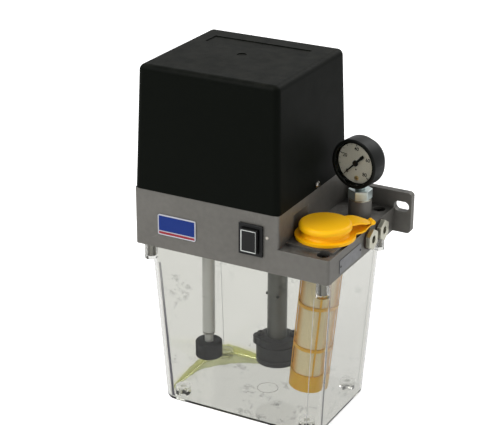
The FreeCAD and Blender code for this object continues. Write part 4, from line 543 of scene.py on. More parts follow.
class Finishes:
    """Every finish of the pump."""

    # Where a finish sets its cavity shade, that paints shade into its corners and seams.
    HOOD = Finish("hood moulding", "080b07", "hood", roughness=0.55, smudge=0.1, grain=(1500.0, 0.22),
                  tone=(0.12, 22.0), dust=0.03, wear=0.12, wear_colour="3a3b36", specular=0.05,
                  cavity=(0.5, 0.003, "060605"))
    # Painted shade on the cast alloy: its upward faces go near black and its corners darken over a wide reach.
    CASTING = Finish("cast alloy", "6a6863", "base_casting", metallic=0.45, roughness=0.5, smudge=0.18,
                     grain=(700.0, 0.30), tone=(0.45, 13.0), wear=0.35, wear_colour="bdbab1", scratch=0.12,
                     dust=0.8, dust_colour="22201c", cavity=(0.75, 0.013, "211f1c"))
    FITTING = Finish("plated fitting", "bdbbaa", "gauge_washer outlet_fitting_front outlet_fitting_rear",
                     metallic=0.9, roughness=0.32, brush=0.08, wear=0.3, wear_colour="e0ded2",
                     cavity=(0.85, 0.003, "201a12"))
    ADAPTER = Finish("bright adapter", "bac6c4", "gauge_stem gauge_adapter", metallic=0.85, roughness=0.32,
                     brush=0.06, cavity=(0.6, 0.002, "1d201c"))
    STEEL = Finish("bright steel", "a7a59f",
                   "hood_screws reservoir_inserts float_stops suction_screen idler_pin drive_shaft "
                   "motor_bearings board_bracket drive_gear idler_gear stand_screws motor_screws", metallic=1.0,
                   roughness=0.3, brush=0.1, scratch=0.1)
    TUBE = Finish("drawn tube", "cfd0cc", "float_tube float_stem", metallic=0.4, roughness=0.38, brush=0.12)
    COLUMN = Finish("pump column", "62635d", "pump_column", metallic=0.6, roughness=0.42, brush=0.1,
                    tone=(0.35, 40.0), cavity=(0.6, 0.004, "2b2b27"))
    DARK_STEEL = Finish("blackened steel", "2b2a28", "reservoir_screws gallery_plug pump_screws", metallic=1.0,
                        roughness=0.42, wear=0.3)
    BRASS = Finish("brass", "c9a24f", "gauge_movement bourdon_tube shaft_bushes", metallic=1.0, roughness=0.3,
                   brush=0.08, tone=(0.2, 50.0))
    ALLOY = Finish("motor alloy", "9b9c9d", "shaft_coupling motor_stand motor_housing", metallic=0.9,
                   grain=(800.0, 0.2))
    CLEAR = ClearMoulding("clear moulding", "e8e8e4", "reservoir", roughness=0.03, smudge=0.03,
                          tone=(0.02, 30.0), through=1.0, ior=1.49, specular=0.2, mirror=0.5)
    LENS = Finish("gauge lens", "f4f4f2", "gauge_lens", roughness=0.03, smudge=0.03, tone=(0.01, 30.0),
                  through=1.0, ior=1.3)
    RUBBER = Finish("gasket rubber", "26251f", "reservoir_gasket shaft_seal", roughness=0.7,
                    grain=(900.0, 0.15))
    FIBRE = Finish("washer fibre", "33241a", "outlet_washers", roughness=0.65, grain=(1200.0, 0.3),
                   tone=(0.3, 60.0))
    YELLOW = Finish("cap moulding", "ffbf05", "filler_collar filler_cap", smudge=0.12, specular=0.25,
                    tone=(0.08, 60.0), grain=(1600.0, 0.08), subsurface=0.1, wear=0.08, wear_colour="ffd84f",
                    cavity=(0.9, 0.0045, "c46a02"))
    AMBER = Finish("strainer moulding", "ffc53e", "filler_strainer", roughness=0.4, subsurface=0.2,
                   through=0.15, specular=0.2, tone=(0.12, 60.0))
    MESH = WovenMesh("strainer mesh", "fff0c4", "strainer_mesh", roughness=0.7, specular=0.2, tone=(0.1, 80.0))
    BLACK = Finish("black moulding", "111212", "switch_frame switch_button cable_gland gland_nut",
                   roughness=0.4, grain=(1400.0, 0.12), dust=0.03, specular=0.25)
    FLOAT = Finish("float foam", "161717", "level_float", roughness=0.7, specular=0.15, grain=(700.0, 0.4),
                   tone=(0.3, 90.0))
    PUMP = Finish("pump body", "2b2c2b", "pump_body suction_cover", metallic=0.3, roughness=0.5, specular=0.2,
                  grain=(600.0, 0.08), tone=(0.2, 60.0), cavity=(0.6, 0.004, "151513"))
    GAUGE = Finish("gauge case", "101210", "gauge_case", grain=(1300.0, 0.1), wear=0.12, wear_colour="3b3c36",
                   specular=0.12)
    DIAL = Finish("dial face", "d6d4c6", "gauge_dial", roughness=0.5, tone=(0.1, 40.0))
    PRINT = Finish("dial print", "14150f", "gauge_needle", roughness=0.6, tone=(0.2, 300.0))
    BADGE = Finish("badge field", "0d2c74", specular=0.2, tone=(0.12, 60.0))
    BADGE_EDGE = Finish("badge border", "bfc1c9", "badge_plate", roughness=0.4, tone=(0.06, 60.0))
    BADGE_LINE = Finish("badge stripe", "8f2631", roughness=0.4, specular=0.3, tone=(0.08, 60.0))
    PLATE = Finish("type plate", "6f7072", "type_plate", metallic=0.5, roughness=0.42, brush=0.08, scratch=0.3,
                   tone=(0.6, 160.0))
    LAMP = Finish("lamp lens", "d9d2c6", "pilot_lamp", roughness=0.15, through=0.4)
    BOARD = Finish("board laminate", "1c5a33", "control_board", roughness=0.35, coat=0.3, tone=(0.15, 90.0))
    CHIP = Finish("component body", "17181a", tone=(0.1, 120.0))
    TERMINAL = Finish("terminal moulding", "2b7a4f", "terminal_block", roughness=0.4)
    STACK = Finish("laminations", "4c4a47", "motor_stator motor_rotor", metallic=0.8, roughness=0.5, brush=0.5)
    # Painted highlight round the rocker's face.
    LINE = Finish("painted rocker highlight", "d6dad6", roughness=0.4, tone=(0.2, 200.0))
    NEEDLE = Finish("needle paint", "100f0b")
    OIL = Finish("old oil", "d9dcae", roughness=0.12, tone=(0.35, 45.0), through=0.96, ior=1.35, mirror=0.4)
    # Painted reflections on the clear reservoir's corners: dark reflection lines and white highlight lines.
    SEAM_DARK = Finish("painted dark corner reflection", "807e88", roughness=0.4, tone=(0.3, 25.0), specular=0.2)
    SEAM_PALE = Finish("painted corner highlight", "ffffff", roughness=0.15, through=0.2)
    CLEAR_TRIM = Finish("clear trim", "dfe1dc", roughness=0.15, through=0.9, ior=1.4)
    COPPER = Finish("winding wire", "b0642d", metallic=0.9, roughness=0.35, brush=0.4, coat=0.4)


NODE_FINISH = {node: finish for finish in vars(Finishes).values() if isinstance(finish, Finish)
               for node in finish.nodes.split()}


def placed(name: str, data: bpy.types.ID) -> bpy.types.Object:
    """Make an object of some data and put it into the scene.

    Args:
        name: its name.
        data: what it shows.

    Returns:
        The new object.
    """
    made = bpy.data.objects.new(name, data)
    bpy.context.scene.collection.objects.link(made)
    return made


def evaluated(thing: bpy.types.Object) -> bpy.types.Mesh:
    """Return a new mesh of an object as its modifiers and settings shape it."""
    bpy.context.view_layer.update()
    return bpy.data.meshes.new_from_object(thing.evaluated_get(bpy.context.evaluated_depsgraph_get()))


def shift(*place: float) -> Matrix:
    """Return a move by millimetres."""
    return Matrix.Translation([value * MM for value in place])


def box_of(node: str) -> tuple[Vector, Vector]:
    """Return the low and high corner of a node's box in millimetres."""
    low, high = (Vector(corner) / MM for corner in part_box(node))
    return low, high


class Maker:
    """Turns meshes into pieces that ride on the pump's bodies."""

    SHARP: ClassVar[float] = math.radians(32.0)
    FLAT: ClassVar[float] = math.radians(0.5)
    WELD: ClassVar[float] = 0.00001

    def __init__(self) -> None:
        """Note the material slot and the body of every node."""
        record = frame["record"]
        self.slots = {entry["node"]: entry["material_slot"] for entry in record["subparts"]}
        self.bodies = {node: body for body, nodes in record["behaviour"]["bodies"].items() for node in nodes}

    def piece(self, name: str, mesh: Mesh, finish: Finish, like: str, stands_for: tuple[str, ...] = (),
              smooth: float = 35.0) -> bpy.types.Object:
        """Make one piece.

        Args:
            name: the piece's name.
            mesh: its shape, in metres in the part's frame.
            finish: its finish.
            like: the node whose body it takes.
            stands_for: the nodes that it replaces.
            smooth: the angle in degrees under which edges are smooth.

        Returns:
            The new object.
        """
        bmesh.ops.recalc_face_normals(mesh, faces=mesh.faces)
        data = bpy.data.meshes.new(name)
        mesh.to_mesh(data)
        mesh.free()
        data.polygons.foreach_set("use_smooth", [True] * len(data.polygons))
        data.set_sharp_from_angle(angle=math.radians(smooth))
        data.materials.append(finish.build())
        made = placed(name, data)
        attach(made, self.bodies[like])
        if stands_for:
            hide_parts(*stands_for)
        LOG.info("piece %s: %d faces on %s", name, len(data.polygons), self.bodies[like])
        return made

    def softened(self, node: str, width: float) -> None:
        """Replace a node by its own shape with small rounds on every sharp edge.

        Args:
            node: the node.
            width: the width of the rounds in metres.
        """
        mesh = bmesh.new()
        mesh.from_mesh(frame["nodes"][node].data)
        bmesh.ops.remove_doubles(mesh, verts=mesh.verts, dist=self.WELD)
        bmesh.ops.dissolve_limit(mesh, angle_limit=self.FLAT, verts=mesh.verts, edges=mesh.edges)
        sharp = [edge for edge in mesh.edges
                 if len(edge.link_faces) == 2 and edge.calc_face_angle(0.0) > self.SHARP]
        bmesh.ops.bevel(mesh, geom=sharp, offset=width, segments=2, profile=0.6, affect="EDGES",
                        clamp_overlap=True)
        made = self.piece(node + "_soft", mesh, NODE_FINISH[node], node, (node,), 50.0)
        made.modifiers.new("weigh", "WEIGHTED_NORMAL").keep_sharp = True
        data = evaluated(made)
        made.modifiers.clear()
        made.data = data


MAKER = Maker()


class Shapes:
    """Mesh builders: they are given millimetres and make metres."""

    @staticmethod
    def circle(radius: float, height: float, steps: int) -> list[Vector]:
        """Return the points of a circle round Z."""
        return [Vector((radius * MM * math.cos(turn), radius * MM * math.sin(turn), height * MM))
                for turn in (2 * math.pi * i / steps for i in range(steps))]

    @staticmethod
    def lathe(profile: Iterable[Pair], steps: int) -> Mesh:
        """Turn a half section about Z.

        Args:
            profile: the section's corners as (radius, height).
            steps: faces round the axis.

        Returns:
            The mesh.
        """
        mesh = bmesh.new()
        rings = []
        for radius, height in profile:
            points = Shapes.circle(radius, height, steps) if radius else [(0, 0, height * MM)]
            rings.append([mesh.verts.new(point) for point in points])
        for low, high in pairwise(rings + rings[:1]):
            for i in range(steps):
                j = (i + 1) % steps
                corners = dict.fromkeys((low[i % len(low)], low[j % len(low)], high[j % len(high)],
                                         high[i % len(high)]))
                if len(corners) > 2:
                    mesh.faces.new(list(corners))
        return mesh

    @staticmethod
    def knob(radius: float, foot: float, top: float, edge: Pair, steps: int) -> Mesh:
        """Make a short round post whose top edge is cut back.

        Args:
            radius: its radius.
            foot: height of its foot.
            top: height of its top.
            edge: the cut-back inwards and down.
            steps: faces round it.

        Returns:
            The mesh.
        """
        inset, drop = edge
        profile = [(0, foot), (radius, foot), (radius, top - drop), (radius - inset, top), (0, top)]
        return Shapes.lathe(profile, steps)

    @staticmethod
    def loft(mesh: Mesh, rings: list[list[bmesh.types.BMVert]]) -> Mesh:
        """Skin rings of equal length in a mesh, and close both ends.

        Args:
            mesh: the mesh.
            rings: its rings of corners.

        Returns:
            The mesh.
        """
        count = len(rings[0])
        for low, high in pairwise(rings):
            for k in range(count):
                mesh.faces.new((low[k], low[(k + 1) % count], high[(k + 1) % count], high[k]))
        mesh.faces.new(rings[0][::-1])
        mesh.faces.new(rings[-1])
        return mesh

    @staticmethod
    def rod(start: Point, end: Point, radius: float, tip: float = 1.0, sides: int = 8) -> Mesh:
        """Make a round rod.

        Args:
            start: the middle of its foot.
            end: the middle of its head.
            radius: its radius at the foot.
            tip: the head's radius as a share of the foot's.
            sides: faces round it.

        Returns:
            The mesh.
        """
        mesh = bmesh.new()
        foot, head = Vector(start) * MM, Vector(end) * MM
        turn = Vector((0, 0, 1)).rotation_difference((head - foot).normalized()).to_matrix()
        rings = [[mesh.verts.new(middle + turn @ point) for point in Shapes.circle(size, 0, sides)]
                 for middle, size in ((foot, radius), (head, radius * tip))]
        return Shapes.loft(mesh, rings)

    @staticmethod
    def slab(size: Point, centre: Point, edge: float, segments: int = 1) -> Mesh:
        """Make a block with rounded edges.

        Args:
            size: its size.
            centre: its middle.
            edge: width of the rounds.
            segments: faces across each round.

        Returns:
            The mesh.
        """
        mesh = bmesh.new()
        bmesh.ops.create_cube(mesh, size=1.0)
        bmesh.ops.scale(mesh, vec=Vector(size) * MM, verts=mesh.verts)
        bmesh.ops.bevel(mesh, geom=mesh.edges[:], offset=edge * MM, segments=segments, profile=0.5,
                        affect="EDGES")
        bmesh.ops.translate(mesh, vec=Vector(centre) * MM, verts=mesh.verts)
        return mesh

    @staticmethod
    def join(parts: Iterable[Mesh]) -> Mesh:
        """Join several meshes into the first.

        Args:
            parts: the meshes.

        Returns:
            The first mesh, which now holds them all.
        """
        whole, *rest = parts
        for part in rest:
            data = bpy.data.meshes.new("joined")
            part.to_mesh(data)
            part.free()
            whole.from_mesh(data)
            bpy.data.meshes.remove(data)
        return whole

    @staticmethod
    def moved(mesh: Mesh, matrix: Matrix) -> Mesh:
        """Move a mesh by a matrix."""
        bmesh.ops.transform(mesh, matrix=matrix, verts=mesh.verts)
        return mesh


@dataclass
class Studio:
    """Camera, lamps, floor and background.

    Attributes:
        lens: focal length in millimetres.
        sensor: width of the camera's sensor in millimetres.
        azimuth: degrees from the front towards the right.
        elevation: degrees above the horizon.
        roll: degrees of roll.
        place: the camera's place in metres.
        ambient: strength of the soft light from all round.
        mirror: strength of the backdrop in reflections, in front and behind.
        turn: the directions along Y between which that strength changes.
        floor_drop: how far the floor lies below the pump, in metres.
        floor_tone: brightness of the floor.
        floor_glow: what the camera sees of the white backdrop in the floor.
        floor_pale: share of plain white in the floor as seen through clear walls.
        lamps: each lamp's name, place, height that it looks at, side in metres and power in watts.
    """

    lens: float = 111.99
    sensor: float = 36.0
    azimuth: float = 28.205
    elevation: float = 22.7757
    roll: float = 0.2448
    place: Point = (0.62502, -1.19737, 0.75923)
    ambient: float = 0.6
    mirror: Pair = (0.3, 0.9)
    turn: Pair = (-0.7, 0.7)
    floor_drop: float = 0.0002
    floor_tone: float = 0.92
    floor_glow: float = 0.5
    floor_pale: float = 0.75
    lamps: tuple[tuple[str, Point, float, float, float], ...] = (
        ("key", (-0.9, -1.3, 1.9), 0.2, 1.2, 33), ("fill", (1.6, -0.6, 0.9), 0.15, 1.0, 2.8),
        ("rim", (0.4, 1.4, 1.3), 0.25, 0.9, 9))

    def camera(self) -> None:
        """Put the camera where the photograph was taken from."""
        a, e, r = (math.radians(v) for v in (self.azimuth, self.elevation, self.roll))
        back = Vector((math.sin(a) * math.cos(e), -math.cos(a) * math.cos(e), math.sin(e)))
        right = Vector((math.cos(a), math.sin(a), 0))
        up = back.cross(right)
        across = right * math.cos(r) + up * math.sin(r)
        above = up * math.cos(r) - right * math.sin(r)
        data = bpy.data.cameras.new("camera")
        data.lens = self.lens
        data.sensor_width = self.sensor
        data.clip_start = 0.05
        camera = placed("camera", data)
        turn = Matrix((across, above, back)).transposed().to_4x4()
        camera.matrix_world = Matrix.Translation(self.place) @ turn
        bpy.context.scene.camera = camera

    def backdrop(self) -> None:
        """Make a white backdrop that lights softly; its mirror image dims towards the camera's side."""
        world = bpy.data.worlds.new("studio")
        world.use_nodes = True
        bpy.context.scene.world = world
        graph = Graph(world.node_tree)
        world.node_tree.nodes.clear()
        split = graph.axes(graph.node("TexCoord").outputs["Generated"])
        path = graph.node("LightPath").outputs
        seen = graph.math("MAXIMUM", path["Is Camera Ray"], path["Is Transmission Ray"])
        soft, dim, white = (graph.node("Background", Color=WHITE, Strength=strength).outputs[0] for strength in
                            (self.ambient, graph.ramp(split[1], *self.turn, *self.mirror), 1.0))
        lit = graph.node("MixShader", i0=path["Is Glossy Ray"], i1=soft, i2=dim).outputs[0]
        mixed = graph.node("MixShader", i0=seen, i1=lit, i2=white).outputs[0]
        graph.node("OutputWorld", i0=mixed)

    def floor(self) -> None:
        """Lay a pale floor that keeps the pump's shadow."""
        mesh = bmesh.new()
        bmesh.ops.create_grid(mesh, x_segments=2, y_segments=2, size=6.0)
        data = bpy.data.meshes.new("floor")
        mesh.to_mesh(data)
        mesh.free()
        floor = placed("floor", data)
        floor.location.z = -self.floor_drop
        material = bpy.data.materials.new("floor")
        material.use_nodes = True
        graph = Graph(material.node_tree)
        nodes = material.node_tree.nodes
        shader = nodes["Principled BSDF"]
        tone = EFFECTS.use(graph, Effect.TONE, Colour=(self.floor_tone,) * 3, Amount=0.01, Scale=3.0)
        graph.feed(shader.inputs["Base Color"], tone)
        shader.inputs["Roughness"].default_value = 0.9
        path = graph.node("LightPath").outputs
        seen = graph.product(path["Is Camera Ray"], self.floor_glow)
        glow, pale = (graph.node("Emission", Color=WHITE, Strength=strength).outputs[0]
                      for strength in (seen, 1.0))
        both = graph.node("AddShader", i0=shader.outputs[0], i1=glow).outputs[0]
        through = graph.product(path["Is Transmission Ray"], self.floor_pale)
        mixed = graph.node("MixShader", i0=through, i1=both, i2=pale).outputs[0]
        graph.feed(nodes["Material Output"].inputs[0], mixed)
        data.materials.append(material)

    def build(self) -> None:
        """Make the whole studio."""
        self.camera()
        bpy.context.scene.view_settings.view_transform = "Standard"
        self.backdrop()
        for name, place, aim, side, power in self.lamps:
            data = bpy.data.lights.new(name, "AREA")
            data.size, data.energy = side, power
            lamp = placed(name, data)
            lamp.location = place
            lamp.rotation_euler = (Vector((0, 0, aim)) - Vector(place)).to_track_quat("-Z", "Y").to_euler()
        self.floor()


class Assembly:
    """One sub-assembly of the pump; each one builds its own pieces.

    Attributes:
        rounds: width in metres of the rounds on the sharp edges of its nodes.
    """

    rounds: Rounds = {}

    def build(self) -> None:
        """Round the nodes, then make the pieces that lie on them."""
        for node, width in self.rounds.items():
            MAKER.softened(node, width)
        self.dress()

    def dress(self) -> None:
        """Make the sub-assembly's own pieces, where it has any."""


@dataclass
class Casting(Assembly):
    """The cast base and the bare plate on its right side.

    Attributes:
        rivet: radius and height of the plate's rivets in millimetres.
        inset: how far from the plate's ends they sit.
    """

    rounds: Rounds = {"base_casting": 0.0006, "type_plate": 0.00015}
    rivet: Pair = (1.1, 0.5)
    inset: float = 2.2

    def dress(self) -> None:
        """Rivet the plate."""
        low, high = box_of("type_plate")
        radius, height = self.rivet
        rivets = []
        for y in (low.y + self.inset, high.y - self.inset):
            profile = [(0, -0.2), (radius, -0.2), (radius, 0.1), (radius * 0.7, height * 0.8), (0, height)]
            place = shift(high.x, y, (low.z + high.z) / 2) @ Matrix.Rotation(math.pi / 2, 4, "Y")
            rivets.append(Shapes.moved(Shapes.lathe(profile, 20), place))
        MAKER.piece("plate_rivets", Shapes.join(rivets), Finishes.DARK_STEEL, "type_plate")


@dataclass
class FrontPanel(Assembly):
    """Badge and rocker switch on the front face, in millimetres.

    Attributes:
        stripe: height of the badge's lower stripe.
        gap: width of the pale line between stripe and field.
        border: width of the badge's pale border.
        line: width of the painted highlight round the rocker.
        inset: how far that line lies inside the rocker's face.
        thickness: thickness of each inlay.
    """

    rounds: Rounds = {"switch_frame": 0.0005, "switch_button": 0.0003, "badge_plate": 0.00015}
    stripe: float = 2.2
    gap: float = 1.0
    border: float = 1.1
    line: float = 0.55
    inset: float = 1.1
    thickness: float = 0.3

    def dress(self) -> None:
        """Lay the badge's blue field and red stripe, and draw the painted highlight round the rocker's face."""
        low, high = box_of("badge_plate")
        width, middle, y = high.x - low.x - 2 * self.border, (low.x + high.x) / 2, low.y + 0.12
        foot = low.z + self.border
        for name, finish, start, top in (
                ("badge_field", Finishes.BADGE, foot + self.stripe + self.gap, high.z - self.border),
                ("badge_stripe", Finishes.BADGE_LINE, foot, foot + self.stripe)):
            inlay = Shapes.slab((width, self.thickness, top - start), (middle, y, (top + start) / 2), 0.1)
            MAKER.piece(name, inlay, finish, "badge_plate")
        low, high = box_of("switch_button")
        left, right = low.x + self.inset, high.x - self.inset
        foot, top = low.z + self.inset, high.z - self.inset
        x, y, z = (left + right) / 2, low.y + 0.13, (foot + top) / 2
        # Painted highlight: widest bars on the left and bottom edges, thinnest on the right.
        bars = [((right - left, self.line * 1.5), (x, foot)), ((right - left, self.line), (x, top)),
                ((self.line * 1.6, top - foot), (left, z)), ((self.line * 0.5, top - foot), (right, z))]
        rocker_highlight_bars = Shapes.join(Shapes.slab((wide, self.thickness, tall), (across, y, up), 0.08)
                                 for (wide, tall), (across, up) in bars)
        MAKER.piece("rocker_highlight", rocker_highlight_bars, Finishes.LINE, "switch_button")


class Filler(Assembly):
    """Filler collar, cap and strainer."""

    rounds: Rounds = {"filler_collar": 0.0004, "filler_cap": 0.0005, "filler_strainer": 0.0003}


@dataclass
class Gauge(Assembly):
    """Pressure gauge: dial print, dial screw and needle, in millimetres and degrees.

    Attributes:
        centre: the dial's centre.
        turn: the gauge's turn about Z.
        face: how far the dial's face lies before the centre.
        first: angle of the first mark.
        sweep: angle that the scale covers.
        numbers: the numbers on the scale.
        parts: marks between two numbers, counting one number.
        marks: length and width of the marks, at the numbers and between them.
        mark_reach: distance of the marks' outer ends from the centre.
        figure_reach: distance of the numbers from the centre.
        figure_size: height of the numbers' type.
        ink: thickness of the print.
        ring: inner and outer radius of the black ring round the dial.
        screw: place of the dial's screw.
        hole: place of the dark hole.
        lift: height of the needle's tail over the dial's face.
    """

    rounds: Rounds = {"gauge_case": 0.0005, "gauge_adapter": 0.0004, "gauge_stem": 0.0003}
    centre: Point = (79.5, 37.5, 246.9)
    turn: float = -9.0
    face: float = 8.3
    first: float = 225.0
    sweep: float = 270.0
    numbers: tuple[str, ...] = ("0", "20", "40", "60", "80")
    parts: int = 4
    marks: tuple[Pair, Pair] = ((2.8, 0.8), (1.6, 0.4))
    mark_reach: float = 19.2
    figure_reach: float = 13.6
    figure_size: float = 4.8
    ink: float = 0.06
    ring: Pair = (19.5, 20.6)
    screw: Pair = (1.0, -14.6)
    hole: Pair = (0.0, -6.4)
    lift: float = 1.5

    def lay(self, name: str, mesh: Mesh, finish: Finish, node: str) -> None:
        """Make a piece of a mesh that is drawn on the dial, with x right, y up and z to the viewer.

        Args:
            name: the piece's name.
            mesh: the mesh.
            finish: its finish.
            node: the node whose body it takes.
        """
        flat = Matrix(((1, 0, 0, 0), (0, 0, -1, 0), (0, 1, 0, 0), (0, 0, 0, 1)))
        stand = shift(*self.centre) @ Matrix.Rotation(math.radians(self.turn), 4, "Z") @ flat
        MAKER.piece(name, Shapes.moved(mesh, stand), finish, node)

    def angle(self, share: float) -> float:
        """Return the direction, in radians, of a share of the scale."""
        return math.radians(self.first - self.sweep * share)

    def scale(self) -> list[Mesh]:
        """Make the scale's marks.

        Returns:
            One mesh for each mark.
        """
        made = []
        steps = self.parts * (len(self.numbers) - 1)
        for i in range(steps + 1):
            long, wide = self.marks[i % self.parts > 0]
            middle = (self.mark_reach - long / 2, 0, self.face + self.ink / 2)
            bar = Shapes.slab((long, wide, self.ink), middle, 0.01)
            made.append(Shapes.moved(bar, Matrix.Rotation(self.angle(i / steps), 4, "Z")))
        return made

    def figure(self, text: str, share: float) -> Mesh:
        """Make one number of the scale.

        Args:
            text: the number.
            share: its place as a share of the scale.

        Returns:
            The mesh.
        """
        curve = bpy.data.curves.new("figure", "FONT")
        curve.body = text
        curve.size = self.figure_size * MM
        curve.align_x = curve.align_y = "CENTER"
        curve.extrude = self.ink / 2 * MM
        curve.offset = 0.12 * MM
        holder = placed("figure", curve)
        mesh = bmesh.new()
        mesh.from_mesh(evaluated(holder))
        bpy.data.objects.remove(holder)
        bpy.data.curves.remove(curve)
        reach, angle = self.figure_reach, self.angle(share)
        place = shift(reach * math.cos(angle), reach * math.sin(angle), self.face + self.ink / 2)
        return Shapes.moved(mesh, place)

    def needle(self) -> None:
        """Add the broad tail and the hub of the needle."""
        lift = self.face + self.lift
        foot, top = lift - 0.3, lift + 0.3
        tail = Shapes.slab((6.5, 2.3, 0.5), (5.6, 0, lift), 0.2, 2)
        end = Shapes.moved(Shapes.knob(1.7, foot, top, (0.3, 0.1), 24), shift(8.8, 0, 0))
        hub = Shapes.lathe([(0, foot), (2.9, foot), (2.9, top), (2.4, lift + 0.9), (0, lift + 1.0)], 32)
        whole = Shapes.moved(Shapes.join([tail, end, hub]), Matrix.Rotation(self.angle(0) + math.pi, 4, "Z"))
        self.lay("needle_tail", whole, Finishes.NEEDLE, "gauge_needle")

    def dress(self) -> None:
        """Print the dial, and set the ring, the needle, the dial's screw and the dark hole under the hub."""
        last = len(self.numbers) - 1
        figures = [self.figure(text, i / last) for i, text in enumerate(self.numbers)]
        self.lay("dial_print", Shapes.join(self.scale() + figures), Finishes.PRINT, "gauge_dial")
        inner, outer = self.ring
        low, front = self.face + 0.05, self.face + 2.4
        ring = [(inner, low), (outer, low), (outer, front), (inner + 0.5, front), (inner, front - 0.6)]
        self.lay("gauge_bezel", Shapes.lathe(ring, 72), Finishes.GAUGE, "gauge_case")
        self.needle()
        foot, top = self.face - 0.1, self.face + 0.7
        head = Shapes.moved(Shapes.knob(2.3, foot, top, (0.4, 0.2), 28), shift(*self.screw, 0))
        self.lay("dial_screw", head, Finishes.BRASS, "gauge_dial")
        slot = Shapes.slab((3.4, 0.5, 0.1), (*self.screw, top), 0.02)
        dot = Shapes.lathe([(0, foot), (0.85, foot), (0.85, low), (0, low)], 20)
        dark = Shapes.join([slot, Shapes.moved(dot, shift(*self.hole, 0))])
        self.lay("dial_hole", dark, Finishes.PRINT, "gauge_dial")


class Outlets(Assembly):
    """The two plated outlet fittings and their washers."""

    rounds: Rounds = {"outlet_fitting_front": 0.0005, "outlet_fitting_rear": 0.0005,
                      "outlet_washers": 0.0002}


